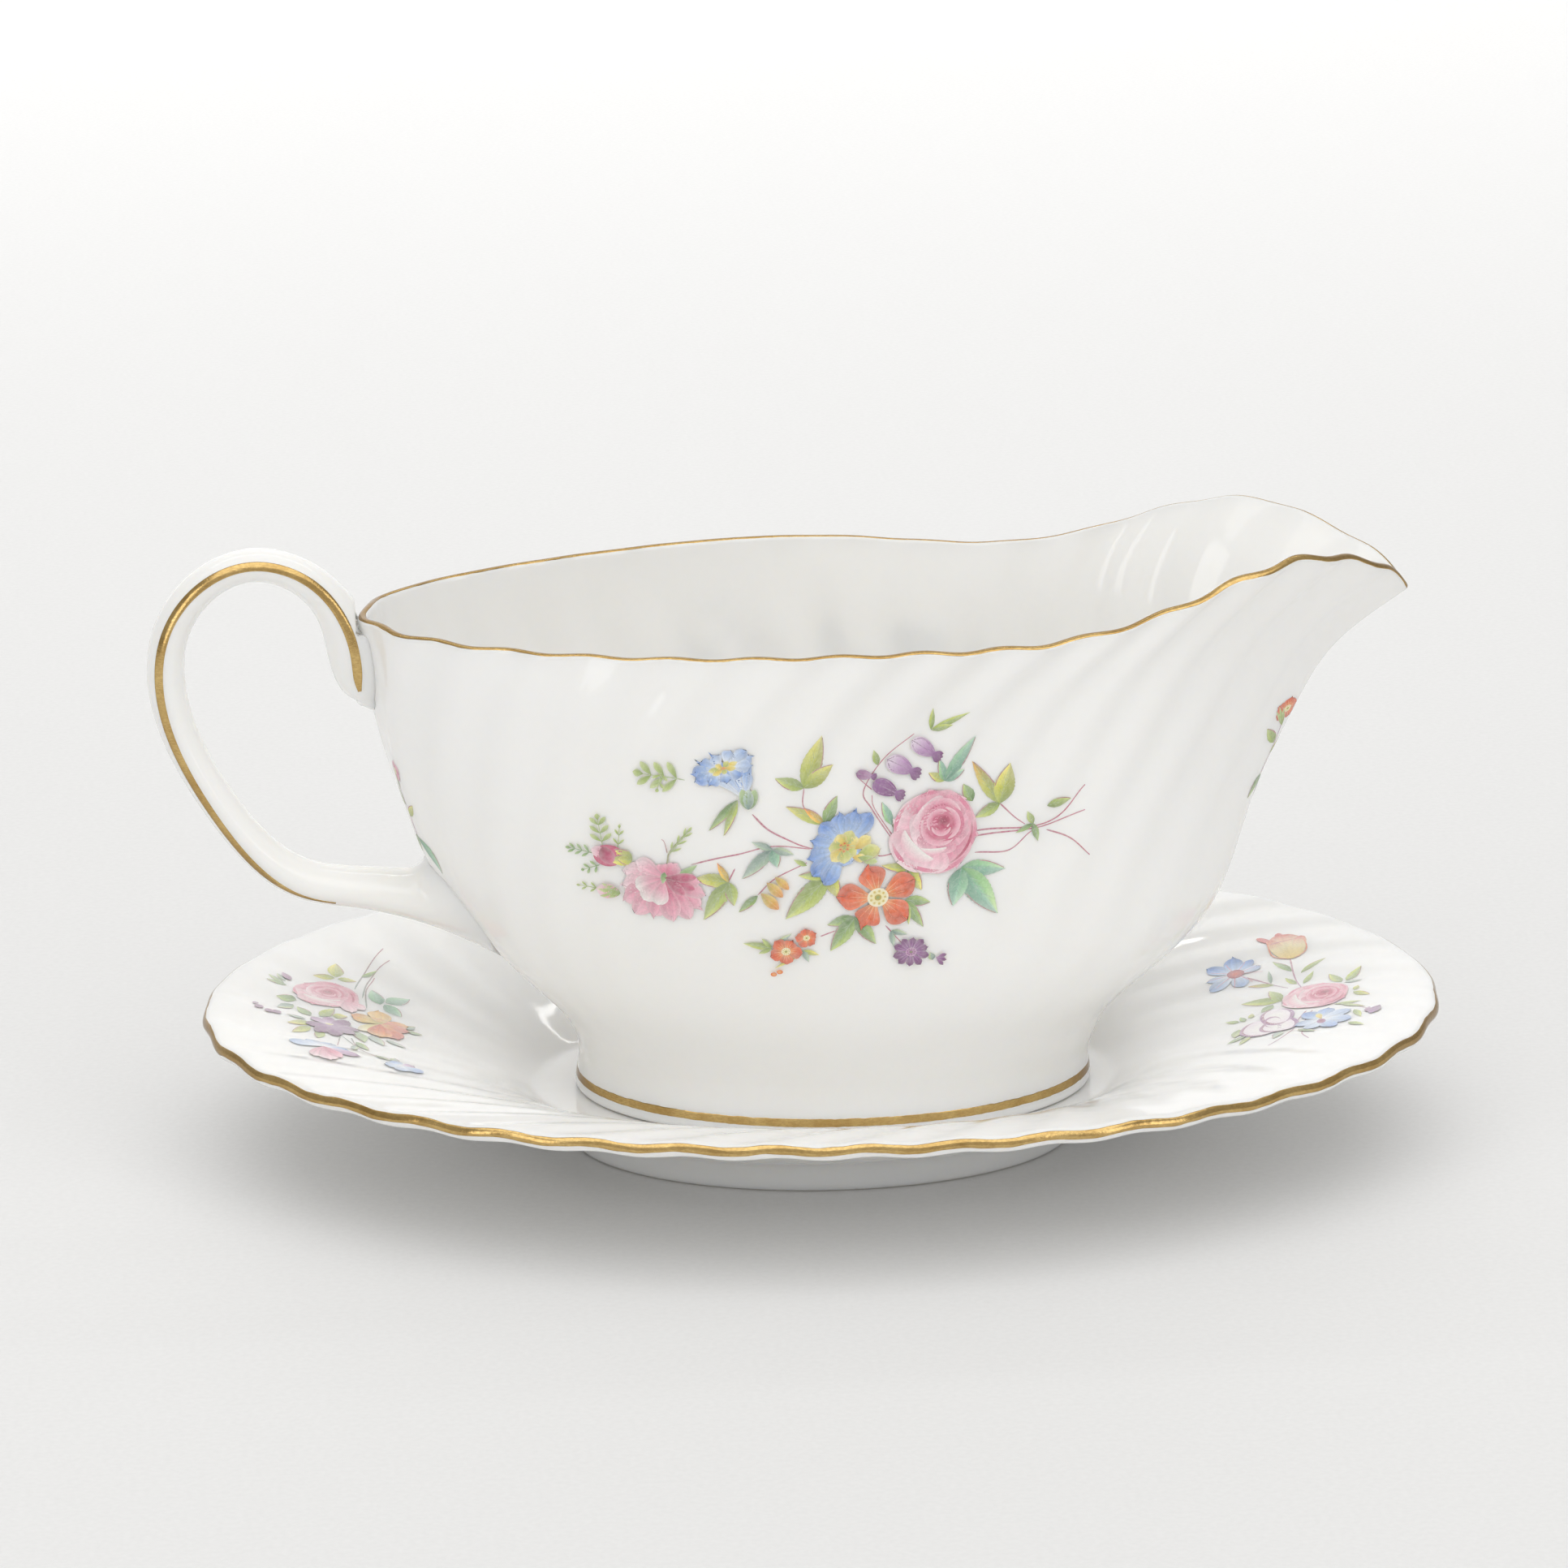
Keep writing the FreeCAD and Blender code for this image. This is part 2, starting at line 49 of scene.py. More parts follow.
# ================================================================ curves
def smooth(points):
    """Natural cubic curve y(x) through a few (x, y) points, for arrays."""
    xs, ys = (np.array(column, float) for column in zip(*points))
    gap = np.diff(xs)
    count = len(xs)
    system = np.eye(count)
    pull = np.zeros(count)
    for i in range(1, count - 1):
        system[i, i - 1:i + 2] = gap[i - 1], 2.0 * (gap[i - 1] + gap[i]), gap[i]
        pull[i] = 6.0 * ((ys[i + 1] - ys[i]) / gap[i] - (ys[i] - ys[i - 1]) / gap[i - 1])
    bend = np.linalg.solve(system, pull)

    def value(x):
        x = np.clip(x, xs[0], xs[-1])
        i = np.clip(np.searchsorted(xs, x) - 1, 0, count - 2)
        left = (xs[i + 1] - x) / gap[i]
        right = (x - xs[i]) / gap[i]
        curl = (left ** 3 - left) * bend[i] + (right ** 3 - right) * bend[i + 1]
        return left * ys[i] + right * ys[i + 1] + curl * gap[i] ** 2 / 6.0

    return value


def ease(x, start, end):
    """0 before start, 1 after end, a soft step between."""
    x = np.clip((x - start) / (end - start), 0.0, 1.0)
    return x * x * (3.0 - 2.0 * x)


def unit(vectors):
    """The same directions at length 1."""
    return vectors / np.linalg.norm(vectors, axis=-1, keepdims=True)


def points_of(x, y, z):
    """Array of points from three arrays or numbers."""
    return np.stack(np.broadcast_arrays(x, y, z), -1).astype(float)


def even_turn(outline, steps=720):
    """(turn as a function of angle, its inverse): the turn grows evenly along a closed outline."""
    angles = np.linspace(0.0, 2.0 * np.pi, steps + 1)
    walk = np.concatenate([[0.0], np.cumsum(np.linalg.norm(np.diff(outline(angles), axis=0),
                                                            axis=1))])
    walk /= walk[-1]
    return (lambda angle: np.interp(angle % (2.0 * np.pi), angles, walk),
            lambda turn: np.interp(turn, walk, angles))


# ================================================================ shape of the stand
RING_X, RING_Y = 92.6, 64.0             # length and width of the foot ring
STAND_WALL, STAND_LIP = 3.4, 2.89       # thickness of the bowl and of the lip
SEAT = 10.4                             # height of the well, where the boat stands
STAND_HEIGHT = 26.8
STAND_RIBS = 38
STAND_RIB_DEPTH = 0.25
STAND_SCALLOP = 0.25                    # how far the ribs wave the outline
STAND_SWIRL = 0.42                      # turn of a rib from the rim to the well, radians
LIP_REACH = STAND_LIP + 2.0 * STAND_SCALLOP
STAND_X, STAND_Y = 225.0 - LIP_REACH, 160.0 - LIP_REACH
stand_rise = smooth([(0.0, 0.0), (0.06, 0.0), (0.10, 0.012), (0.16, 0.13), (0.25, 0.31),
                     (0.36, 0.47), (0.50, 0.63), (0.72, 0.835), (0.87, 0.935), (1.0, 1.0)])


def stand_oval(spread, angle):
    """Plan outline: foot ring at spread 0, rim at spread 1."""
    return points_of(0.5 * (RING_X + spread * (STAND_X - RING_X)) * np.cos(angle),
                     0.5 * (RING_Y + spread * (STAND_Y - RING_Y)) * np.sin(angle), 0.0)


stand_turn, stand_angle = even_turn(lambda angle: stand_oval(1.0, angle))


def stand_skin(spread, angle):
    """Upper face of the stand, with its ribs."""
    wave = np.cos(2.0 * np.pi * STAND_RIBS * stand_turn(angle - STAND_SWIRL * (1.0 - spread)))
    strength = ease(spread, 0.12, 0.85)
    grow = STAND_SCALLOP * strength * wave / (0.5 * (STAND_X - RING_X))
    point = stand_oval(spread + grow, angle)
    climb = STAND_HEIGHT - 0.1 * STAND_LIP - SEAT
    point[..., 2] = SEAT + climb * stand_rise(spread) - STAND_RIB_DEPTH * strength * wave
    return point


def stand_normal(spread, angle):
    """Upward direction of the ribbed upper face."""
    step = 0.004
    out = stand_skin(min(spread + step, 1.0), angle) - stand_skin(max(spread - step, 0.0), angle)
    around = stand_skin(spread, angle + step) - stand_skin(spread, angle - step)
    return unit(np.cross(out, around))


def stand_face(spread, lift):
    """Upper face, moved along its normal."""
    return lambda angle: stand_skin(spread, angle) + stand_normal(spread, angle) * lift


def stand_under(spread):
    """Underside: full thickness in the bowl, thinner at the lip."""
    depth = STAND_WALL + ease(spread, 0.5, 1.0) * (STAND_LIP - STAND_WALL)
    return stand_face(spread, -depth)


def stand_ring(inset, height):
    """One oval of the foot ring."""
    def place(angle):
        point = stand_oval(0.0, angle)
        point = point - unit(point / [RING_X, RING_Y, 1.0]) * inset
        point[..., 2] = height
        return point
    return place


def stand_lip(roll):
    """Rounded lip; roll 0 is the upper face, 180 the underside."""
    turned = math.radians(roll)

    def place(angle):
        up = stand_normal(1.0, angle)
        out = unit(stand_skin(1.0, angle) - stand_skin(0.98, angle))
        ray = up * math.cos(turned) + out * math.sin(turned)
        return stand_skin(1.0, angle) - up * 0.5 * STAND_LIP + ray * 0.5 * STAND_LIP
    return place


def stand_well(spread):
    """Edge of the flat well."""
    return lambda angle: stand_oval(spread, angle) + [0.0, 0.0, SEAT]


# ================================================================ shape of the boat
FOOT_BOTTOM = SEAT + 0.1                # a hair above the well
BAND_HEIGHT = FOOT_BOTTOM + 2.9         # middle of the gold band
RIM_HEIGHT = 99.6                       # at the handle and at the tip of the lip
BELLY_WALL, LIP_WALL = 3.2, 2.0
BOAT_RIBS = 30
BOAT_RIB_START = 0.15                   # where the first rib stands, as a share of a rib
BOAT_RIB_DEPTH = 0.5
BOAT_SWIRL = 0.5                        # turn of a rib from the foot to the rim, radians
BOAT_RIM_WAVE = 0.15
RISE_START = 40.0                       # above this height the rows follow the rise of the rim
BOAT_STATIONS = [     # height, reach towards the handle, towards the lip, half width
    (FOOT_BOTTOM, 45.4, 49.2, 32.9), (BAND_HEIGHT, 45.0, 48.8, 32.5), (17.0, 44.6, 48.7, 31.9),
    (20.5, 45.0, 49.9, 32.2), (25.5, 47.6, 52.4, 33.8), (32.0, 54.2, 59.8, 36.6),
    (41.0, 62.6, 69.4, 39.2), (52.0, 70.2, 74.8, 40.8), (66.0, 76.2, 79.3, 41.5),
    (80.0, 80.0, 86.0, 41.5), (92.0, 82.0, 94.4, 41.5), (RIM_HEIGHT, 83.0, 105.3, 41.6)]
boat_back, boat_front, boat_side = (
    smooth([(row[0], row[column]) for row in BOAT_STATIONS]) for column in (1, 2, 3))
rim_pinch = smooth([(-1.0, 0.97), (-0.6, 1.01), (-0.1, 1.0), (0.35, 0.87),
                    (0.77, 0.765), (0.87, 0.60), (0.93, 0.46), (0.97, 0.36), (1.0, 0.30)])
rim_lift = smooth([(-1.0, 0.0), (-0.5, 0.9), (0.0, 1.3), (0.3, 1.4), (0.52, 6.3),
                   (0.66, 10.2), (0.78, 11.0), (0.87, 8.6), (0.925, 6.4), (0.966, 4.0), (1.0, 0.0)])


def boat_oval(height, angle):
    """The smooth outside at one height; angle 0 is the pouring lip."""
    along = np.cos(angle)
    front, back = boat_front(height), boat_back(height)
    narrow = 1.0 + ease(height, 22.0, RIM_HEIGHT) * (rim_pinch(along) - 1.0)
    raised = np.maximum(height - RISE_START, 0.0) / (RIM_HEIGHT - RISE_START)
    return points_of(0.5 * (front - back) + 0.5 * (front + back) * along,
                     boat_side(height) * narrow * np.sin(angle),
                     height + rim_lift(along) * raised ** 2)


boat_turn, boat_angle = even_turn(lambda angle: boat_oval(RIM_HEIGHT, angle))


def boat_normal(height, angle):
    """Outward direction of the smooth outside."""
    step = 0.01
    up = (boat_oval(np.minimum(height + step * 10.0, RIM_HEIGHT), angle)
          - boat_oval(np.maximum(height - step * 10.0, FOOT_BOTTOM), angle))
    around = boat_oval(height, angle + step) - boat_oval(height, angle - step)
    return unit(np.cross(around, up))


def boat_face(height, lift):
    """Outside with its ribs, moved along the normal."""
    level = (height - FOOT_BOTTOM) / (RIM_HEIGHT - FOOT_BOTTOM)

    def place(angle):
        turn = boat_turn(angle + BOAT_SWIRL * (1.0 - level))
        wave = np.cos(2.0 * np.pi * (BOAT_RIBS * turn - BOAT_RIB_START))[..., None]
        rib = BOAT_RIB_DEPTH * ease(level, 0.12, 0.9) * wave
        point = boat_oval(height, angle) + boat_normal(height, angle) * (rib + lift)
        return point - BOAT_RIM_WAVE * ease(level, 0.8, 1.0) * wave * [0.0, 0.0, 1.0]
    return place


def boat_inside(height):
    """Inside of the boat; the china thins towards the rim."""
    wall = BELLY_WALL + ease(height, 50.0, RIM_HEIGHT) * (LIP_WALL - BELLY_WALL)
    return boat_face(height, -wall)


def boat_lip(roll):
    """Rounded lip; roll 0 is its outside, 180 its inside."""
    turned = math.radians(roll)

    def place(angle):
        out = boat_normal(RIM_HEIGHT, angle)
        up = unit(boat_oval(RIM_HEIGHT, angle) - boat_oval(RIM_HEIGHT - 1.0, angle))
        ray = out * math.cos(turned) + up * math.sin(turned)
        return boat_face(RIM_HEIGHT, 0.0)(angle) + (ray - out) * 0.5 * LIP_WALL
    return place


def boat_ring(level, inset, height):
    """Flat oval: the outline at a level, drawn in by inset, at the height given."""
    def place(angle):
        front, back = float(boat_front(level)), float(boat_back(level))
        middle, half_x = 0.5 * (front - back), 0.5 * (front + back)
        half_y = float(boat_side(level))
        point = boat_oval(level, angle)
        return points_of(middle + (point[..., 0] - middle) * (half_x - inset) / half_x,
                         point[..., 1] * (half_y - inset) / half_y, height)
    return place


# ================================================================ shape of the handle
GRIP_THICK, GRIP_WIDE = 6.0, 9.6
HANDLE = [     # x, z, heading in degrees, share of GRIP_THICK, share of GRIP_WIDE
    (-82.2, 85.2, 100.0, 0.57, 0.72), (-83.3, 88.0, 101.0, 1.17, 1.10), (-84.3, 94.0, 103.0, 1.50, 1.24),
    (-86.9, 101.0, 120.0, 1.25, 1.14), (-92.6, 107.2, 148.0, 1.04, 1.04),
    (-101.6, 109.9, 184.0, 0.95, 1.00), (-110.4, 106.3, 218.0, 1.00, 1.00),
    (-116.0, 98.6, 248.0, 1.07, 1.00), (-117.3, 89.0, 273.0, 1.13, 1.02),
    (-114.9, 78.4, 290.0, 1.10, 1.02), (-109.2, 67.2, 302.0, 1.06, 1.02),
    (-101.4, 56.8, 316.0, 1.10, 1.02), (-93.0, 51.2, 336.0, 1.18, 1.06), (-84.0, 49.6, 349.0, 1.20, 1.14),
    (-75.6, 48.2, 355.0, 1.42, 1.28), (-70.4, 47.0, 360.0, 1.66, 1.42), (-63.8, 45.6, 382.0, 2.25, 1.66)]
handle_columns = [smooth(list(enumerate(column))) for column in zip(*HANDLE)]


def handle_point(place, angle):
    """(point, outward direction) on the handle; angle 0 is its +Y flank, 90 degrees its outer edge."""
    x, z, heading, thick, wide = (column(place) for column in handle_columns)
    turned = np.radians(heading)
    half_thick, half_wide = 0.5 * thick * GRIP_THICK, 0.5 * wide * GRIP_WIDE
    rise, flat = np.sin(angle), np.cos(angle)
    out_x, out_z = np.sin(turned), -np.cos(turned)
    point = points_of(x + out_x * half_thick * rise, half_wide * flat, z + out_z * half_thick * rise)
    normal = points_of(out_x * half_wide * rise, half_thick * flat, out_z * half_wide * rise)
    return point, unit(normal)


# ================================================================ meshes
def basis(knots, degree, places):
    """Weights of every control point of an open B-spline at each place."""
    knots = np.array(knots, float)
    count = len(knots) - 1
    places = np.clip(places, knots[degree], knots[-degree - 1] - 1e-9)[:, None]
    weights = ((knots[:-1] <= places) & (places < knots[1:])).astype(float)
    for d in range(1, degree + 1):
        left = knots[d:count] - knots[:count - d]
        right = knots[d + 1:] - knots[1:count - d + 1]
        with np.errstate(divide="ignore", invalid="ignore"):
            low = np.where(left > 0, (places - knots[:count - d]) / left, 0.0)
            high = np.where(right > 0, (knots[d + 1:] - places) / right, 0.0)
        weights = low * weights[:, :count - d] + high * weights[:, 1:count - d + 1]
    return weights


def refine(rows, per_row, per_step):
    """Cubic surface over rows of control points: clamped along the rows, closed around them."""
    spans = len(rows) - 3
    knots = [0.0] * 3 + list(range(spans + 1)) + [float(spans)] * 3
    along = basis(knots, 3, np.linspace(0.0, spans, spans * per_row + 1))
    grid = np.einsum("ij,jkc->ikc", along, np.array(rows))
    f = np.arange(per_step)[:, None] / per_step
    blend = np.hstack([(1 - f) ** 3, 3 * f ** 3 - 6 * f ** 2 + 4,
                       -3 * f ** 3 + 3 * f ** 2 + 3 * f + 1, f ** 3]) / 6.0
    around = sum(blend[:, k][None, None, :, None] * np.roll(grid, 1 - k, axis=1)[:, :, None, :]
                 for k in range(4))
    return around.reshape(len(grid), -1, 3)


def add_mesh(name, points, faces, body, materials, face_material=None):
    """Smooth-shaded piece, from points in millimetres, that rides on a body."""
    mesh = bpy.data.meshes.new(name)
    mesh.from_pydata((np.asarray(points) * MM).tolist(), [], faces)
    mesh.polygons.foreach_set("use_smooth", [True] * len(mesh.polygons))
    for material in materials:
        mesh.materials.append(material)
    if face_material is not None:
        mesh.polygons.foreach_set("material_index", face_material)
    mesh.validate()
    mesh.update()
    piece = bpy.data.objects.new(name, mesh)
    bpy.context.scene.collection.objects.link(piece)
    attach(piece, body)
    return piece


def ring_quads(first, second, count):
    """Faces between two closed rows that start at these point numbers."""
    return [(first + k, first + (k + 1) % count, second + (k + 1) % count, second + k)
            for k in range(count)]


def grid_faces(rows, around, start=0):
    """Faces of a tube of closed rows."""
    return [face for row in range(rows - 1)
            for face in ring_quads(start + row * around, start + (row + 1) * around, around)]


# ================================================================ materials
class Nodes:
    """Short way to write the nodes of a material or a world."""

    def __init__(self, name, kept_in=bpy.data.materials):
        self.owner = kept_in.new(name)
        self.owner.use_nodes = True
        self.tree = self.owner.node_tree
        self.tree.nodes.clear()
        self.coordinates = self.add("TexCoord").outputs

    def add(self, kind, inputs=(), **settings):
        """Node of a kind, its inputs linked to sockets or set to values."""
        node = self.tree.nodes.new("ShaderNode" + kind)
        for key, value in settings.items():
            setattr(node, key, value)
        for key, value in dict(inputs).items():
            if isinstance(value, bpy.types.NodeSocket):
                self.tree.links.new(value, node.inputs[key])
            else:
                node.inputs[key].default_value = value
        return node

    def noise(self, scale, detail=2.0, roughness=0.5, stretch=None):
        """Soft noise; stretch squeezes it along some axes."""
        place = self.coordinates["Object"]
        if stretch is not None:
            place = self.add("Mapping", {"Vector": place, "Scale": stretch}).outputs[0]
        return self.add("TexNoise", {"Vector": place, "Scale": scale, "Detail": detail,
                                     "Roughness": roughness}).outputs["Fac"]

    def span(self, value, low, high, out_low=0.0, out_high=1.0):
        """Maps low..high of a value to out_low..out_high."""
        return self.add("MapRange", {"Value": value, "From Min": low, "From Max": high,
                                     "To Min": out_low, "To Max": out_high}).outputs[0]

    def mix(self, share, first, second, blend="MIX"):
        """Mix of two colours."""
        node = self.add("Mix", data_type="RGBA", blend_type=blend)
        for socket, value in zip((node.inputs[0], node.inputs[6], node.inputs[7]),
                                 (share, first, second)):
            if isinstance(value, bpy.types.NodeSocket):
                self.tree.links.new(value, socket)
            else:
                socket.default_value = value
        return node.outputs[2]

    def math(self, operation, first, second):
        """Result of a sum on two values."""
        return self.add("Math", {0: first, 1: second}, operation=operation).outputs[0]

    def bump(self, height, distance, normal=None):
        """Normal tipped by a height that spans a distance in metres."""
        inputs = {"Height": height, "Distance": distance, "Strength": 1.0}
        if normal is not None:
            inputs["Normal"] = normal
        return self.add("Bump", inputs).outputs[0]

    def finish(self, **inputs):
        """Principled surface with these inputs; underscores stand for spaces."""
        surface = self.add("BsdfPrincipled", {key.replace("_", " "): value
                                              for key, value in inputs.items()})
        self.add("OutputMaterial", {"Surface": surface.outputs[0]})
        return self.owner


def rgb(red, green, blue):
    """Opaque linear colour."""
    return (red, green, blue, 1.0)


def glaze_material():
    """Clear glossy glaze on white china: faint clouds of tone, ripples and a few specks."""
    n = Nodes("china_glaze")
    cloud = n.noise(14.0, 3.0)
    tone = n.mix(n.span(cloud, 0.35, 0.65), rgb(0.915, 0.908, 0.885), rgb(0.93, 0.925, 0.91))
    fine = n.noise(700.0, 2.0)
    tone = n.mix(n.span(fine, 0.3, 0.7, 0.0, 0.05), tone, rgb(0.78, 0.79, 0.78))
    cell = n.add("TexVoronoi", {"Vector": n.coordinates["Object"], "Scale": 70.0})
    speck = n.math("LESS_THAN", cell.outputs["Distance"], 0.013)
    chosen = n.math("GREATER_THAN", n.add("SeparateColor", {0: cell.outputs["Color"]}).outputs[0],
                    0.8)
    tone = n.mix(n.math("MULTIPLY", n.math("MULTIPLY", speck, chosen), 0.35), tone,
                 rgb(0.42, 0.38, 0.33))
    ripple = n.bump(n.noise(55.0, 2.0), 0.00035)
    skin = n.bump(n.noise(420.0, 2.0), 0.00001, normal=ripple)
    return n.finish(Base_Color=tone, Roughness=n.span(n.noise(26.0), 0.3, 0.7, 0.045, 0.085),
                    IOR=1.5, Normal=skin, Subsurface_Weight=0.4,
                    Subsurface_Radius=(0.006, 0.0052, 0.0042), Subsurface_Scale=1.0)


def biscuit_material():
    """Bare ground china where a foot ring was wiped clean of glaze."""
    n = Nodes("china_bare_foot")
    grain = n.noise(900.0, 4.0, 0.7)
    tone = n.mix(n.span(n.noise(60.0, 4.0), 0.3, 0.7), rgb(0.74, 0.70, 0.64),
                 rgb(0.80, 0.775, 0.73))
    tone = n.mix(n.span(grain, 0.35, 0.7, 0.0, 0.25), tone, rgb(0.58, 0.53, 0.47))
    return n.finish(Base_Color=tone, Roughness=n.span(grain, 0.3, 0.7, 0.6, 0.85),
                    Normal=n.bump(grain, 0.00008))


def gold_material():
    """Burnished gold laid on by brush: fine streaks, darker thin places and rubbed patches; at glancing
    angles it is painted darker, a painted reflection of a dark room.
    """
    n = Nodes("burnished_gold")
    cloud = n.noise(160.0, 4.0, 0.6)
    streak = n.noise(1400.0, 3.0, 0.6, (1.0, 1.0, 3.0))
    tone = n.mix(n.span(cloud, 0.3, 0.7), rgb(0.48, 0.31, 0.11), rgb(0.72, 0.52, 0.22))
    tone = n.mix(n.span(streak, 0.35, 0.75, 0.0, 0.45), tone, rgb(0.26, 0.14, 0.04))
    # painted reflection: the gold is darkened where it is seen at a glancing angle, as if a dark room were
    # mirrored in it
    painted_glancing_shade = n.span(n.add("LayerWeight", {"Blend": 0.5}).outputs["Facing"], 0.3, 0.8)
    tone = n.mix(painted_glancing_shade, tone, rgb(0.24, 0.14, 0.045))
    rough = n.math("ADD", n.span(cloud, 0.3, 0.7, 0.09, 0.18), n.span(streak, 0.3, 0.7, 0.0, 0.08))
    return n.finish(Base_Color=tone, Metallic=1.0, Roughness=rough,
                    Normal=n.bump(n.noise(900.0, 3.0), 0.000035))


glaze, biscuit, gold = glaze_material(), biscuit_material(), gold_material()


# ================================================================ china
def lathe(section, angles):
    """Rows of points, one for every entry of the section."""
    return [place(angles) for place in section]


def vessel(name, hollow, wall, body, node):
    """Closed vessel: hollow under the foot, flat foot ring, then wall, lip and inside."""
    around = hollow.shape[1]
    points = np.concatenate([hollow.reshape(-1, 3), wall.reshape(-1, 3)])
    start = len(hollow) * around
    faces = grid_faces(len(hollow), around) + ring_quads(start - around, start, around)
    faces += grid_faces(len(wall), around, start)
    faces += [tuple(range(around))[::-1], tuple(range(len(points) - around, len(points)))]
    height = points[:, 2]
    bare_below = height.min() + 0.3
    bare = [1 if all(height[v] < bare_below for v in face) else 0 for face in faces]
    piece = add_mesh(name, points, faces, body, [glaze, biscuit], bare)
    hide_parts(node)


PER_RIB = 6                             # control points to a rib
FINE_ROWS, FINE_STEPS = 3, 4            # refinement along and around; hollows need HOLLOW_ROWS
HOLLOW_ROWS = 2
stand_angles = stand_angle(np.arange(STAND_RIBS * PER_RIB) / (STAND_RIBS * PER_RIB))
boat_angles = boat_angle(np.arange(BOAT_RIBS * PER_RIB) / (BOAT_RIBS * PER_RIB))
LIP_ROLLS = (25.0, 55.0, 90.0, 125.0, 155.0)

recess = SEAT - STAND_WALL
stand_hollow = [stand_ring(inset, height) for inset, height in (
    (18.0, recess), (12.0, recess), (8.5, recess - 0.1), (6.6, recess - 0.7), (5.6, 3.2),
    (5.2, 1.0), (4.8, 0.2), (4.3, 0.0))]
WELL_EDGE = 0.08                        # spread at which the flat well begins
stand_bowl = [stand_ring(inset, height) for inset, height in (
    (1.0, 0.0), (0.4, 0.2), (0.0, 1.0), (-0.1, 2.6), (-0.4, 4.4), (-1.4, 5.9))]
stand_bowl += [stand_under(0.07 + 0.93 * k / 22.0) for k in range(23)]
stand_bowl += [stand_lip(roll) for roll in LIP_ROLLS[::-1]]
stand_bowl += [stand_face(1.0 - (0.96 - WELL_EDGE) * k / 24.0, 0.0) for k in range(25)]
stand_bowl += [stand_well(WELL_EDGE + 0.02), stand_well(WELL_EDGE)]
stand_under_foot = refine(lathe(stand_hollow, stand_angles), HOLLOW_ROWS, FINE_STEPS)
stand_grid = refine(lathe(stand_bowl, stand_angles), FINE_ROWS, FINE_STEPS)
vessel("stand_china", stand_under_foot, stand_grid, "stand", "stand")

recess = FOOT_BOTTOM + 2.6
boat_hollow = [boat_ring(FOOT_BOTTOM, inset, height) for inset, height in (
    (14.0, recess), (9.0, recess), (6.4, recess - 0.1), (5.1, recess - 0.7),
    (4.5, FOOT_BOTTOM + 0.8), (4.1, FOOT_BOTTOM + 0.15), (3.7, FOOT_BOTTOM))]
boat_wall = [boat_ring(FOOT_BOTTOM, inset, height) for inset, height in (
    (0.9, FOOT_BOTTOM), (0.4, FOOT_BOTTOM + 0.1))]
FOOT_STEP, FOOT_STEPS = 0.7, 14         # close rows up to the foot, wider ones above
above_foot = FOOT_BOTTOM + FOOT_STEP * FOOT_STEPS
boat_wall += [boat_face(FOOT_BOTTOM + FOOT_STEP * k, 0.0) for k in range(1, FOOT_STEPS + 1)]
boat_wall += [boat_face(above_foot + (RIM_HEIGHT - above_foot) * k / 26.0, 0.0) for k in range(1, 27)]
OUTSIDE_ROWS = len(boat_wall)
boat_wall += [boat_lip(roll) for roll in LIP_ROLLS]
INNER_LOW = 25.5                        # below this height the inside curves in to the floor
boat_wall += [boat_inside(RIM_HEIGHT + (INNER_LOW - RIM_HEIGHT) * k / 24.0) for k in range(25)]
boat_wall += [boat_ring(INNER_LOW, BELLY_WALL + inset, height) for inset, height in (
    (1.6, 22.4), (4.0, 20.0), (7.5, 18.4), (12.0, 17.5), (17.0, 17.2), (22.0, 17.2))]
boat_under_foot = refine(lathe(boat_hollow, boat_angles), HOLLOW_ROWS, FINE_STEPS)
boat_grid = refine(lathe(boat_wall, boat_angles), FINE_ROWS, FINE_STEPS)
vessel("boat_china", boat_under_foot, boat_grid, "boat", "boat_body")


# ---------------------------------------------------------------- handle, joined on with slip
def tree_of(points, faces):
    """Search tree over a mesh in millimetres."""
    return BVHTree.FromPolygons([Vector(p) for p in points], faces)


def clearance(tree, point):
    """Signed distance to a surface: positive outside."""
    near, normal, _, _ = tree.find_nearest(Vector(point))
    away = Vector(point) - near
    return away.length if away.dot(normal) > 0.0 else -away.length


SLOWNESS = 1.25                         # a larger value makes a slimmer flare
FLARED_TO, STRAIGHT_FROM = 0.3, 2.0     # depths inside the wall


def flare(distance, reach):
    """How far the handle spreads where it comes within reach of the wall, not deep inside it."""
    spread = np.clip(reach - np.clip(distance, 0.0, None), 0.0, None) ** 2 / (SLOWNESS * reach)
    return spread * (1.0 - ease(-distance, FLARED_TO, STRAIGHT_FROM))


def reseat(tree, point, distance):
    """The point moved square to a surface until it lies at the signed distance from it."""
    near, normal, _, _ = tree.find_nearest(Vector(point))
    away = Vector(point) - near
    if away.length > 0.3:
        normal = away.normalized() * (1.0 if away.dot(normal) > 0.0 else -1.0)
    return near + normal * distance


AROUND_HANDLE, HANDLE_ROWS, TAB_ROWS = 56, 260, 8
TAB_REACH, STEM_REACH = 2.0, 5.5        # softness of the upper and the lower joint
TAB_ROUNDING = 1.6                      # how far the rounded end runs past the first row
tab_heading = math.radians(HANDLE[0][2])
tab_run = np.array([math.cos(tab_heading), 0.0, math.sin(tab_heading)])
angles = np.linspace(0.0, 2.0 * np.pi, AROUND_HANDLE, endpoint=False)
rows, normals = [], []
for share in np.linspace(0.0, 1.0, TAB_ROWS + 1)[:-1]:          # rounded end of the tab
    point, normal = handle_point(0.0, angles)
    centre = point.mean(0)
    turned = 0.5 * np.pi * share
    width = max(math.sin(turned), 0.02)
    rows.append(centre + (point - centre) * width - tab_run * TAB_ROUNDING * math.cos(turned))
    normals.append(unit(normal * width - tab_run * math.cos(turned)))
for place in np.linspace(0.0, len(HANDLE) - 1.0, HANDLE_ROWS):
    point, normal = handle_point(place, angles)
    rows.append(point)
    normals.append(normal)
handle_flat = np.concatenate(rows)
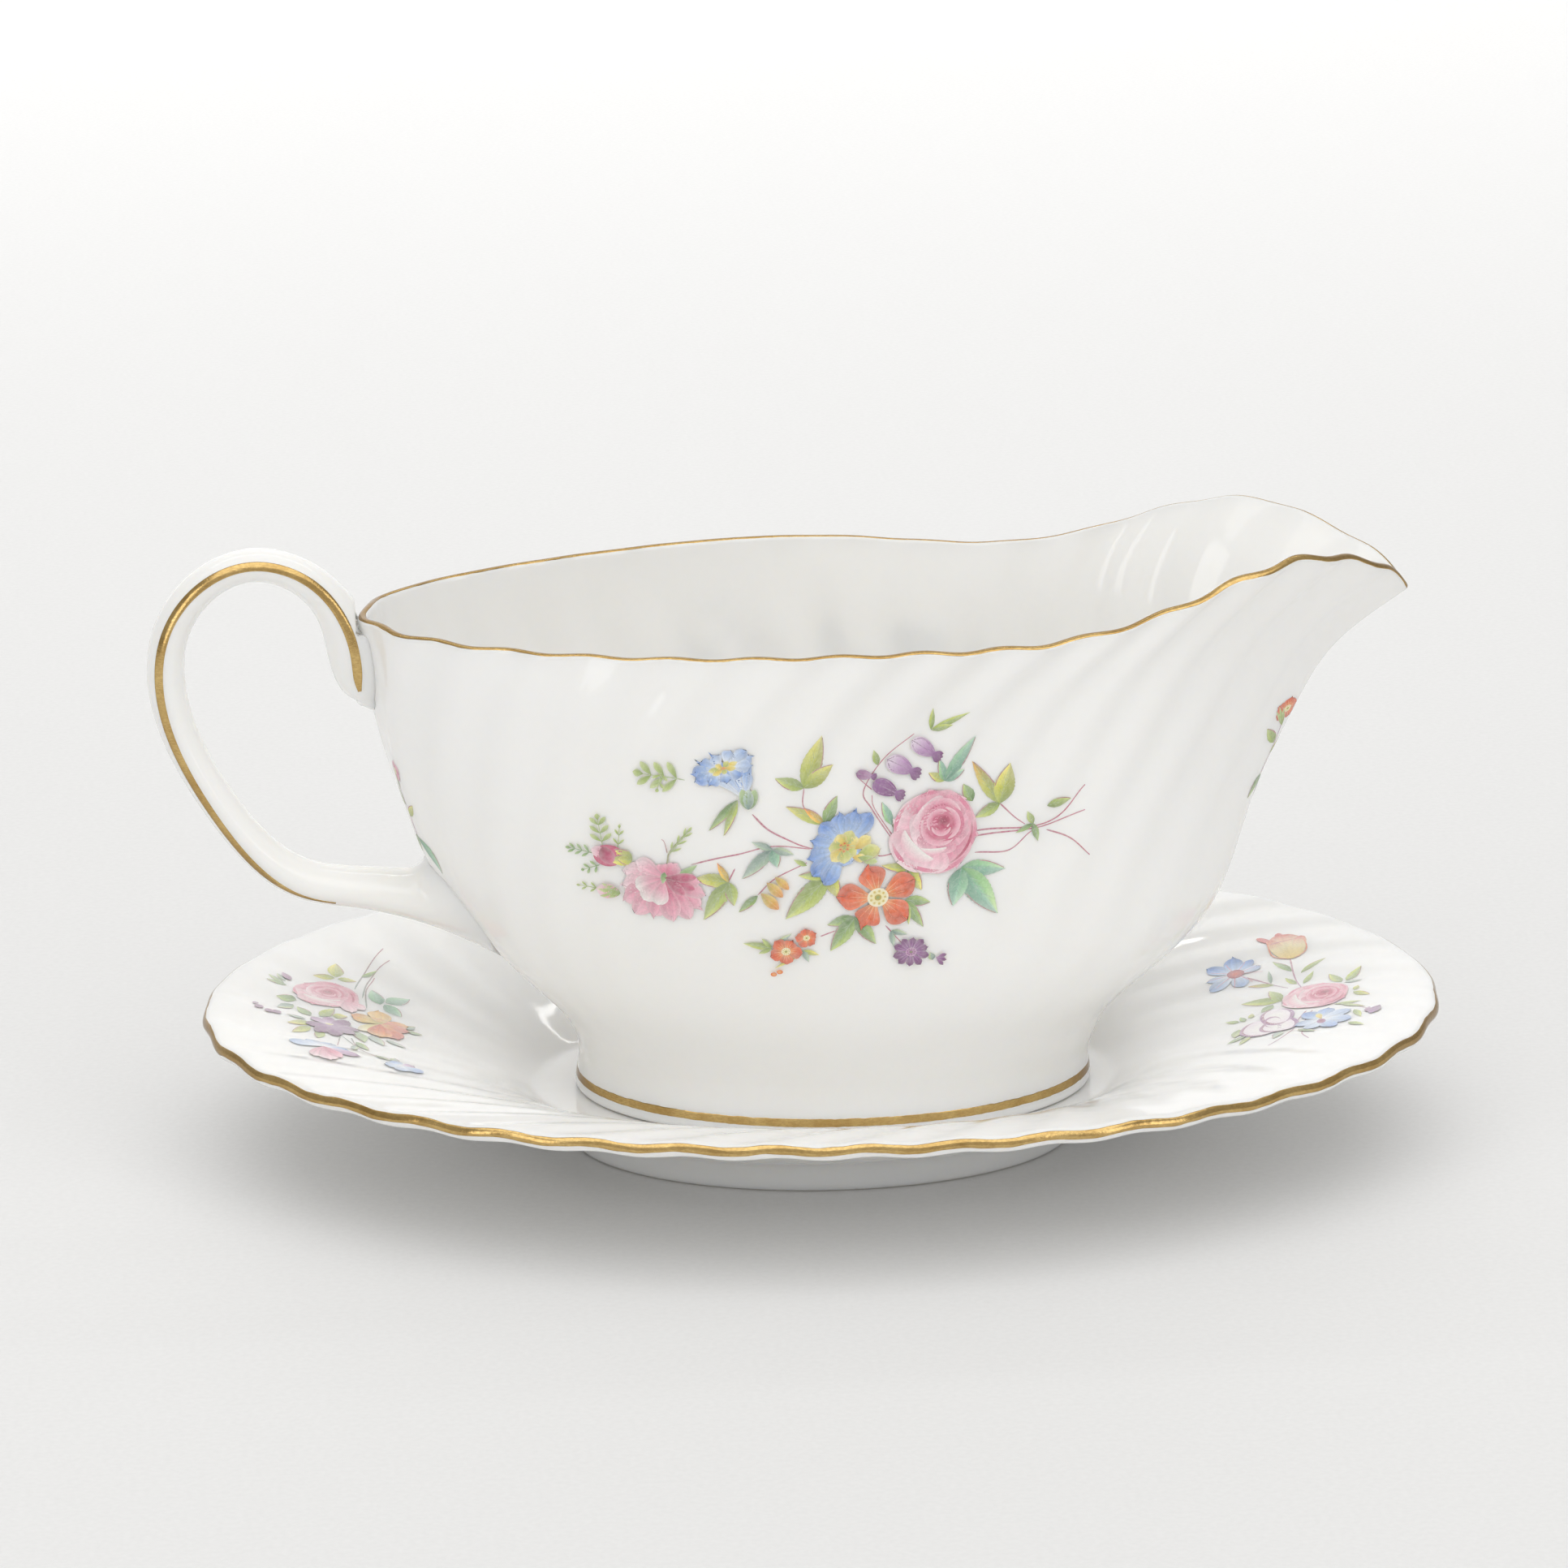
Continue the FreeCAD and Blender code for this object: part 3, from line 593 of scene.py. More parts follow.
outer_rows = (OUTSIDE_ROWS - 2) * FINE_ROWS
wall_tree = tree_of(boat_grid[:outer_rows].reshape(-1, 3),
                    grid_faces(outer_rows, boat_grid.shape[1]))
gap = np.array([clearance(wall_tree, point) for point in handle_flat])
STEM_TOP, TAB_BOTTOM = 62.0, 80.0       # heights of the two joints
reach = STEM_REACH + ease(handle_flat[:, 2], STEM_TOP, TAB_BOTTOM) * (TAB_REACH - STEM_REACH)
spread = flare(gap, reach)
handle_flat = handle_flat + np.concatenate(normals) * spread[:, None]
for k in np.flatnonzero(spread > 0.0):
    handle_flat[k] = reseat(wall_tree, handle_flat[k], gap[k])

# the handle keeps clear of the gilded lip: above LIP_LOW it stays on its own side of LIP_EDGE
LIP_EDGE, LIP_LOW, LIP_HIGH, LIP_EASING = -83.7, 96.4, 98.2, 8.0
lip_limit = LIP_EDGE + LIP_EASING * (1.0 - ease(handle_flat[:, 2], LIP_LOW, LIP_HIGH))
at_lip = handle_flat[:, 2] > LIP_LOW
handle_flat[at_lip, 0] = np.minimum(handle_flat[at_lip, 0], lip_limit[at_lip])

last = len(handle_flat)
handle_faces = [face[::-1] for face in grid_faces(len(rows), AROUND_HANDLE)]
handle_faces.append(tuple(range(AROUND_HANDLE)))
handle_faces.append(tuple(range(last - AROUND_HANDLE, last))[::-1])
handle_piece = add_mesh("handle_china", handle_flat, handle_faces, "boat", [glaze])
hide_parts("boat_handle")


# ================================================================ gold
def grid_normals(grid):
    """Outward directions at the points of a tube of closed rows that runs up its outside."""
    along = np.gradient(grid, axis=0)
    around = np.roll(grid, -1, axis=1) - np.roll(grid, 1, axis=1)
    return unit(np.cross(around, along))


def wander(count, waves, amount, seed):
    """Closed line of soft random steps, like the edge of a hand-painted band."""
    draw = random.Random(seed)
    turn = np.linspace(0.0, 2.0 * np.pi, count, endpoint=False)
    line = sum(draw.uniform(-1.0, 1.0) / (1.0 + 0.02 * wave)
               * np.sin(draw.randint(3, waves) * turn + draw.uniform(0.0, 6.3))
               for wave in range(40))
    return amount * line / np.abs(line).max()


GOLD_LIFT, GOLD_SUNK = 0.035, 0.05      # middle of a band above the glaze, its edges below it
EDGE_WAVES = 160                        # finest wave in the edge of a band


def gold_band(name, grid, centre_row, start, end, body, node, seed, edge=0.1):
    """Thin gold on a grid, between two distances (mm) along it from one of its rows."""
    count = grid.shape[1]
    step = np.linalg.norm(np.diff(grid, axis=0), axis=-1)
    walk = np.concatenate([np.zeros((1, count)), np.cumsum(step, axis=0)])
    walk -= walk[centre_row]
    normal = grid_normals(grid)
    low = start + wander(count, EDGE_WAVES, edge, seed)
    high = end + wander(count, EDGE_WAVES, edge, seed + 1)
    shares = np.concatenate([[0.0, 0.05], np.linspace(0.12, 0.88, 9), [0.95, 1.0]])
    rows = []
    for share in shares:
        to_edge = min(share, 1.0 - share)
        lift = GOLD_LIFT * min(1.0, 10.0 * to_edge) if to_edge > 0.0 else -GOLD_SUNK
        goal = low + (high - low) * share
        row = np.empty((count, 3))
        for k in range(count):
            place = np.interp(goal[k], walk[:, k], np.arange(len(walk)))
            i = min(int(place), len(walk) - 2)
            f = place - i
            row[k] = (grid[i, k] * (1 - f) + grid[i + 1, k] * f
                      + lift * (normal[i, k] * (1 - f) + normal[i + 1, k] * f))
        rows.append(row)
    piece = add_mesh(name, np.concatenate(rows), grid_faces(len(rows), count), body,
                     [gold])
    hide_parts(node)


stand_edge = int(np.argmax(np.abs(stand_grid[..., 0]).max(1)))
gold_band("stand_gold_rim", stand_grid, stand_edge, -0.3, 1.5, "stand", "stand_rim_gilding", 11)
boat_edge = int(np.argmax(boat_grid[..., 2].max(1)))
gold_band("boat_gold_rim", boat_grid, boat_edge, -1.45, 0.15, "boat", "boat_rim_gilding", 21, 0.07)
foot_edge = int(np.argmin(np.abs(boat_grid[..., 2].mean(1) - BAND_HEIGHT)))
gold_band("boat_gold_foot", boat_grid, foot_edge, -0.8, 0.8, "boat", "boat_foot_gilding", 31, 0.08)


# ================================================================ painted flowers
def tint(text):
    """Linear colour of a six-digit paint colour."""
    values = [int(text[k:k + 2], 16) / 255.0 for k in (0, 2, 4)]
    return np.array([v / 12.92 if v < 0.04045 else ((v + 0.055) / 1.055) ** 2.4 for v in values])


PAINT_GAP = 0.28                        # distance between the points of a stroke
PAINT_LIFT, PAINT_STEP = 0.02, 0.0006   # lowest sheet above the glaze, and each sheet above the last
ABOVE_WALL = 60.0                       # where the rays that lay the paint start


# root, middle and tip colour of every paint
PAINT = {name: [tint(text) for text in colours.split()] for name, colours in {
    "green": "86a04c aabf68 cfdc98", "deep": "6a9054 8fb06e b9d098", "blue": "639a80 8fc4a8 c2e2d2",
    "lime": "93a94a c4ca62 e8e294", "amber": "b0a648 e2bb4a e58a3c", "slate": "75928a a2bbac c8d8cd",
    "rust": "88a04a bcc062 daa862", "rose": "c0456c e0809e f2bccb", "rose_pale": "dd86a2 efb0c2 fae0e6",
    "rose_dark": "93254a bd4870 d6708f", "sky": "eef3fb a4c2ee 6690d8", "sky_pale": "f6f8fc c9daf3 98b5e4",
    "orange": "f4b266 e96a2c da501c", "violet": "a06aa6 8a4a8c 72336f",
    "violet_pale": "efe2ef c39ac6 8f5792", "cream": "cfae46 efe29a f8f1d4",
    "yellow": "cfa634 ecd35c f4e89c", "plum": "8d4f8a a8739f cba7c4",
    "scarlet": "cf4a2c e2743a f0b254", "rust_red": "e8b456 dc6a3c c94a38",
    "pansy": "d9692c efc04c eeb23e", "rose_red": "e0705a cf4a50 d86a5e",
    "tulip": "e6c23c f5e6bc d2443a"}.items()}
STEM, VEIN, OUTLINE = tint("b65878"), tint("9a6458"), tint("8a7448")
PAPER = tint("f4f3ee")


def polar(degrees, reach=1.0):
    """Flat vector of a length in a direction."""
    turned = np.radians(degrees)
    return np.array([np.cos(turned), np.sin(turned)]) * reach


def along_curve(points, gap):
    """Even points, and their headings, on a smooth curve through a few points."""
    points = np.array(points, float)
    padded = np.concatenate([2 * points[:1] - points[1:2], points, 2 * points[-1:] - points[-2:-1]])
    fine = []
    for a, b, c, d in zip(padded, padded[1:], padded[2:], padded[3:]):
        f = np.linspace(0.0, 1.0, 24, endpoint=False)[:, None]
        fine.append(0.5 * (2 * b + (c - a) * f + (2 * a - 5 * b + 4 * c - d) * f ** 2
                           + (3 * b - 3 * c + d - a) * f ** 3))
    fine = np.concatenate(fine + [points[-1:]])
    walk = np.concatenate([[0.0], np.cumsum(np.linalg.norm(np.diff(fine, axis=0), axis=1))])
    even = np.linspace(0.0, walk[-1], max(4, int(walk[-1] / gap)))
    line = np.stack([np.interp(even, walk, fine[:, k]) for k in (0, 1)], 1)
    return line, unit(np.gradient(line, axis=0))


def ends(base, tip):
    """(base, step to the tip, length, unit vector to its left) of a stroke."""
    base = np.array(base, float)
    run = np.array(tip, float) - base
    length = np.linalg.norm(run)
    return base, run, length, np.array([-run[1], run[0]]) / length


def turn(spot, degrees):
    """Flat vectors turned counter-clockwise."""
    c, s = math.cos(math.radians(degrees)), math.sin(math.radians(degrees))
    return np.stack([spot[..., 0] * c - spot[..., 1] * s, spot[..., 0] * s + spot[..., 1] * c], -1)


class Spray:
    """Flowers drawn flat in millimetres, then laid on a surface as thin sheets of paint."""

    def __init__(self, name, body, tree, origin, right, up, seed, fade):
        self.name, self.body, self.tree, self.fade = name, body, tree, fade
        self.origin = np.array(origin, float)
        self.right, self.up = unit(np.array(right, float)), unit(np.array(up, float))
        self.draw = random.Random(seed)
        self.flat, self.tints, self.faces = [], [], []
        self.layer = 0

    def patch(self, flat, colours):
        """One sheet of paint, from a grid of flat points and their colours."""
        rows, columns = flat.shape[:2]
        start = len(self.flat)
        self.layer += 1
        self.flat.extend((a, b, self.layer) for a, b in flat.reshape(-1, 2))
        self.tints.extend(np.clip(colours, 0.0, 1.0).reshape(-1, 3))
        self.faces.extend((start + r * columns + c, start + r * columns + c + 1,
                           start + (r + 1) * columns + c + 1, start + (r + 1) * columns + c)
                          for r in range(rows - 1) for c in range(columns - 1))

    def blade(self, base, tip, width, paint, full=0.42, soft=0.85, bend=0.0, shade=0.16, pale=0.25,
              streak=0.05, teeth=0, ruffle=0.0, sunny=0.0):
        """Leaf or petal: widest at full, blunter as soft falls, one side in shade."""
        base, run, length, side = ends(base, tip)
        s = np.linspace(0.0, 1.0, max(7, int(length / 0.3)))[:, None]
        t = np.linspace(-1.0, 1.0, max(5, int(width / 0.28) | 1))[None, :]
        outline = np.sin(np.pi * s ** (math.log(0.5) / math.log(full))) ** soft
        outline = np.maximum(outline, 0.03)
        if teeth:
            outline = outline * (1.0 + 0.09 * np.abs(2.0 * (s * teeth % 1.0) - 1.0))
        phase = self.draw.uniform(0.0, 6.3)
        reach = s * (1.0 + ruffle * s ** 3 * np.cos(3.5 * t + phase))
        across = 0.5 * width * outline * t + bend * length * 4.0 * s * (1.0 - s)
        flat = base + run * reach[..., None] + side * across[..., None]
        root, middle, end = (PAINT[paint] if isinstance(paint, str) else paint)
        share = np.broadcast_to(s, reach.shape)[..., None]
        colour = np.where(share < 0.5, root + (middle - root) * 2.0 * share,
                          middle + (end - middle) * (2.0 * share - 1.0))
        colour = colour * (1.0 - shade * ease(-t, -0.2, 0.6)[..., None])
        colour = colour * (1.0 + sunny * ease(t, -0.1, 0.5)[..., None] * np.array([1.0, 0.6, -0.9]))
        ray = np.sin(t * (5.0 + 1.2 * width) + phase) + 0.6 * np.sin(t * (11.0 + 2.0 * width) - phase)
        colour = colour * (1.0 + streak * ray[..., None])
        wash = pale * (np.abs(t) ** 3)[..., None]
        self.patch(flat, colour + (PAPER - colour) * np.clip(wash, 0.0, 0.95))

    def stroke(self, points, width, colour, end=None, taper=0.5):
        """Brush line through a few points; it thins towards its end."""
        line, heading = along_curve(points, PAINT_GAP)
        side = np.stack([-heading[:, 1], heading[:, 0]], 1)
        share = np.linspace(0.0, 1.0, len(line))[:, None]
        half = 0.5 * width * (1.0 - taper * share) * np.minimum(1.0, 0.35 + 8.0 * share)
        across = np.array([-1.0, 0.0, 1.0])[None, :, None]
        flat = line[:, None] + side[:, None] * half[:, None] * across
        end = colour if end is None else end
        tone = (colour + (end - colour) * share)[:, None] * np.ones((1, 3, 1))
        wobble = np.array([self.draw.uniform(0.0, 0.22) for _ in line])[:, None, None]
        self.patch(flat, tone + (PAPER - tone) * (wobble + 0.15 * np.abs(across)))

    def arc(self, centre, radius, start, sweep, width, colour, squash=1.0, end=None):
        """Crescent round a centre, pointed at both ends."""
        centre = np.array(centre, float)
        turned = np.linspace(0.0, 1.0, max(8, int(abs(radius * math.radians(sweep)) / 0.25)))
        swell = np.sin(np.pi * turned) ** 0.7
        rows = []
        for across in (-1.0, -0.4, 0.4, 1.0):
            reach = radius + 0.5 * width * swell * across
            ring = polar(start + sweep * turned, 1.0).T * reach[:, None]
            rows.append(centre + ring * [1.0, squash])
        tone = np.broadcast_to(colour, (4, len(turned), 3)).copy()
        if end is not None:
            tone += (end - colour) * np.array([0.0, 0.3, 0.7, 1.0])[:, None, None]
        fade = (1.0 - swell)[None, :, None] * 0.5
        self.patch(np.array(rows), tone + (PAPER - tone) * fade)

    def disc(self, centre, wide, high, turned, inner, outer, lean=0.0):
        """Oval wash of paint from one colour at its heart to another at its edge."""
        centre = np.array(centre, float)
        rings = np.linspace(0.02, 1.0, max(4, int(max(wide, high) / 0.28)))
        angle = np.linspace(0.0, 2.0 * np.pi, max(13, int(6.3 * max(wide, high) / 0.3)))
        flat = np.stack([np.cos(angle) * wide, np.sin(angle) * high], -1) * rings[:, None, None]
        share = np.clip(rings[:, None] + lean * rings[:, None] * np.cos(angle - 2.2), 0, 1)[..., None]
        self.patch(centre + turn(flat, turned), inner + (outer - inner) * share ** 1.3)

    # ------------------------------------------------------------ plants
    def leaf(self, base, tip, width, paint, bend=0.0, veins=3):
        """Leaf with a drawn midrib, side veins and one darker edge."""
        base, run, length, side = ends(base, tip)
        width = 0.88 * width
        self.blade(base, tip, width, paint, bend=bend, soft=1.0, shade=0.24,
                   teeth=max(3, int(width * 3)), pale=0.1, sunny=self.draw.choice((0.1, 0.2, 0.32)))
        if width < 1.0:
            return

        def midrib(s):
            return base + run * s + side * bend * length * 4.0 * s * (1.0 - s)

        dark = PAINT[paint][0] * 0.78
        self.stroke([midrib(s) for s in (0.0, 0.35, 0.85)], 0.17, dark, PAINT[paint][1])
        for k in range(veins):
            s = 0.22 + 0.5 * k / veins
            for hand in (-1.0, 1.0):
                end = midrib(s) + run * 0.17 + side * hand * width * 0.3 * (1.0 - 0.5 * s)
                self.stroke([midrib(s), end], 0.11, dark * 1.1, PAINT[paint][1])
        if width > 1.4:
            hand = self.draw.choice((-1.0, 1.0))
            edge = [midrib(s) + side * hand * 0.48 * width * math.sin(math.pi * s ** 0.8) ** 0.85
                    for s in (0.4, 0.6, 0.8, 0.97)]
            self.stroke(edge, 0.17, STEM, VEIN, 0.2)

    def rose(self, centre, r, turned):
        """Full garden rose: two rings of petals round a rolled heart."""
        c = np.array(centre, float)

        def at(angle, reach):
            return c + polar(angle + turned, reach * r)

        ring = ((150, 0.93, 1.05), (88, 0.9, 1.1), (30, 0.93, 1.05), (338, 0.98, 1.05), (288, 1.0, 1.1),
                (208, 1.02, 1.15), (245, 0.98, 1.05))
        for angle, reach, wide in ring:
            paint = "rose_pale" if 120 < angle < 260 else "rose"
            self.blade(at(angle, 0.12), at(angle, reach), wide * r, paint, full=0.66, soft=0.52,
                       pale=0.18, shade=0.1, ruffle=0.05)
            self.arc(c, r * reach * 0.93, angle + turned - 26, 50, 0.09 * r, PAINT["rose"][1])
        heart = at(22, 0.2)
        for angle, reach, wide in ((190, 0.72, 0.95), (245, 0.66, 0.9), (300, 0.62, 0.9),
                                   (0, 0.6, 0.85), (60, 0.58, 0.85), (125, 0.62, 0.9)):
            paint = "rose_pale" if angle in (190, 125) else "rose"
            tip = heart + polar(angle + turned, reach * r)
            self.blade(heart, tip, wide * r, paint, full=0.66, soft=0.5, pale=0.1, shade=0.12)
        dark, deep, mid, light = PAINT["rose_dark"][0], *PAINT["rose"]
        self.disc(heart, 0.5 * r, 0.46 * r, turned, deep, mid, 0.3)
        for k in range(6):
            start = turned + 20 + 131 * k
            radius = r * (0.5 - 0.07 * k)
            self.arc(heart, radius, start, 145, 0.15 * r * (1.0 - 0.08 * k), mid, 1.0, light)
            self.arc(heart, radius - 0.07 * r, start + 15, 110, 0.06 * r, deep, 1.0, mid)
        core = heart + polar(turned + 40.0, 0.08 * r)
        self.disc(core, 0.15 * r, 0.12 * r, 0, dark, deep)
        self.arc(c, 0.66 * r, 165 + turned, 95, 0.3 * r, PAPER, 1.0, light)
        self.arc(c, 0.5 * r, 225 + turned, 70, 0.14 * r, PAPER, 1.0, PAINT["rose_pale"][1])
        self.arc(c, 0.84 * r, 280 + turned, 80, 0.06 * r, deep)

    def open_flower(self, centre, r, count, paint, heart, turned=0.0, squash=1.0, wide=0.95, ruffle=0.1,
                    full=0.68):
        """Flower seen from above, with a dotted centre."""
        c = np.array(centre, float)
        flatten = np.array([1.0, squash])
        for k in range(count):
            angle = turned + 360.0 * k / count + self.draw.uniform(-4.0, 4.0)
            reach = r * self.draw.uniform(0.93, 1.04)
            self.blade(c + polar(angle, 0.06 * r) * flatten, c + polar(angle, reach) * flatten,
                       wide * r * 5.0 / count * (0.6 + 0.4 * squash), paint, full=full, soft=0.6,
                       ruffle=ruffle, pale=0.1, streak=0.09)
            for lean in (-13.0, 0.0, 13.0):
                if r > 2.0:
                    self.stroke([c + polar(angle + lean, 0.3 * r) * flatten,
                                 c + polar(angle + lean * 1.2, 0.78 * r) * flatten], 0.13,
                                PAINT[paint][0], PAINT[paint][1])
        core = PAINT[heart]
        self.disc(c, 0.3 * r, 0.3 * r * squash, 0, core[1], core[2])
        if r > 1.5:
            for k in range(9):
                dot = c + polar(40.0 * k, 0.2 * r) * flatten
                self.disc(dot, 0.045 * r, 0.045 * r, 0, core[0], core[1])
        self.disc(c, 0.1 * r, 0.1 * r * squash, 0, PAINT["green"][0], core[0])

    def trumpet(self, throat, r, facing, squash):
        """Wide ruffled cup seen at a slant, with a yellow throat."""
        c = np.array(throat, float)
        axis = polar(facing)

        def at(angle, reach):
            spot = polar(angle, reach * r)
            return c + spot - axis * (spot @ axis) * (1.0 - squash)

        for k in range(13):
            angle = facing + 28.0 * k
            low = math.cos(math.radians(angle - facing)) < 0.2
            self.blade(at(angle, 0.1), at(angle, 1.0 if low else 0.5), 0.5 * r,
                       "sky" if low else "sky_pale", full=0.7, soft=0.55, ruffle=0.08, streak=0.1,
                       pale=0.12)
        for k in range(26):
            angle = facing + 14.0 * k
            if math.cos(math.radians(angle - facing)) < 0.2:
                self.stroke([at(angle, 0.45), at(angle + 3, 0.9)], 0.12, PAINT["sky"][1], PAINT["sky"][2])
        for k in range(7):
            angle = facing + 52.0 * k
            self.blade(c, at(angle, 0.46), 0.36 * r, "yellow" if k % 2 else "lime", full=0.6, soft=0.7)
        for k in range(6):
            dot = c + polar(60.0 * k + facing, 0.1 * r)
            self.disc(dot, 0.05 * r, 0.04 * r, 0, PAINT["scarlet"][0], PAINT["amber"][1])

    def bell(self, base, mouth, width, paint):
        """Closed bell with a small frilled mouth."""
        base, run, length, side = ends(base, mouth)
        dark, mid = PAINT["violet"][2], PAINT["violet"][0]
        self.blade(base, mouth, width, paint, full=0.42, soft=0.55, pale=0.0, shade=0.05, streak=0.05)
        for hand in (-0.42, 0.42, 0.0):
            belly, lip = run * 0.35 + side * hand * width, run * 0.95 + side * hand * width * 0.35
            self.stroke([base, base + belly, base + lip], 0.16, dark, mid, 0.2)
        for lean in (-38.0, -12.0, 14.0, 40.0):
            tip = base + run + turn(run, lean) / length * width * 0.5
            self.blade(base + run * 0.88, tip, width * 0.3, "violet", full=0.65, soft=0.6, pale=0.0)

    def bud(self, base, tip, width, paint):
        """Bud held by three green sepals."""
        base, run, _, side = ends(base, tip)
        self.blade(base, tip, width, paint, full=0.55, soft=0.6)
        for lean in (-0.45, 0.45, 0.0):
            end = base + run * (0.95 - 0.3 * abs(lean)) + side * lean * width
            self.blade(base, end, width * 0.42, "green", full=0.4)

    def frond(self, base, tip, width, count, paint):
        """Feathery leaf: narrow lobes along a fine stalk."""
        base, run, _, side = ends(base, tip)
        self.stroke([base, base + run * 0.9], 0.2, PAINT[paint][0], PAINT[paint][1])
        for k in range(count):
            s = 0.15 + 0.75 * k / count
            for hand in (-1.0, 1.0):
                root = base + run * s
                end = root + run * 0.24 + side * hand * width * 0.5 * (1.0 - 0.45 * s)
                self.blade(root, end, width * 0.2, paint, full=0.6, soft=0.7)
        self.blade(base + run * 0.8, tip, width * 0.24, paint, full=0.6)

    # ------------------------------------------------------------ on to the china
    def lay(self):
        """Projects the drawing on the surface and makes the piece."""
        inward = -np.cross(self.right, self.up)
        points = []
        flat = np.array(self.flat)
        starts = self.origin + flat[:, :1] * self.right + flat[:, 1:2] * self.up - inward * ABOVE_WALL
        for start, layer in zip(starts, flat[:, 2]):
            spot, normal, _, _ = self.tree.ray_cast(Vector(start), Vector(inward))
            if spot is None:
                spot, normal, _, _ = self.tree.find_nearest(Vector(start))
            if normal.dot(Vector(inward)) > 0.0:
                normal = -normal
            points.append(spot + normal * (PAINT_LIFT + PAINT_STEP * layer))
        piece = add_mesh(self.name, points, self.faces, self.body, [enamel])
        painted = piece.data.color_attributes.new("paint", "FLOAT_COLOR", "POINT")
        rgba = np.ones((len(points), 4))
        rgba[:, :3] = self.tints + (PAPER - self.tints) * self.fade
        painted.data.foreach_set("color", rgba.ravel())


def enamel_material():
    """Overglaze enamel: the painted colour, slightly uneven, a little less glossy than the glaze."""
    n = Nodes("overglaze_enamel")
    paint = n.add("Attribute", attribute_name="paint").outputs["Color"]
    wash = n.span(n.noise(900.0, 3.0, 0.6), 0.35, 0.7, 0.0, 0.16)
    tone = n.mix(wash, paint, (*PAPER, 1.0))
    fleck = n.span(n.noise(3000.0, 2.0), 0.35, 0.65, 0.94, 1.03)
    tone = n.mix(1.0, tone, n.add("CombineColor", {0: fleck, 1: fleck, 2: fleck}).outputs[0],
                 "MULTIPLY")
    grain = n.noise(1500.0, 2.0)
    return n.finish(Base_Color=tone, Roughness=n.span(grain, 0.3, 0.7, 0.1, 0.22), IOR=1.5,
                    Normal=n.bump(grain, 0.000012))


enamel = enamel_material()


def cluster(spray, root, rows, veins=3):
    """Leaves from one point, each given by direction in degrees, length, width and paint."""
    for angle, length, width, paint in rows:
        spray.leaf(root, root + polar(angle, length), width, paint, veins=veins)


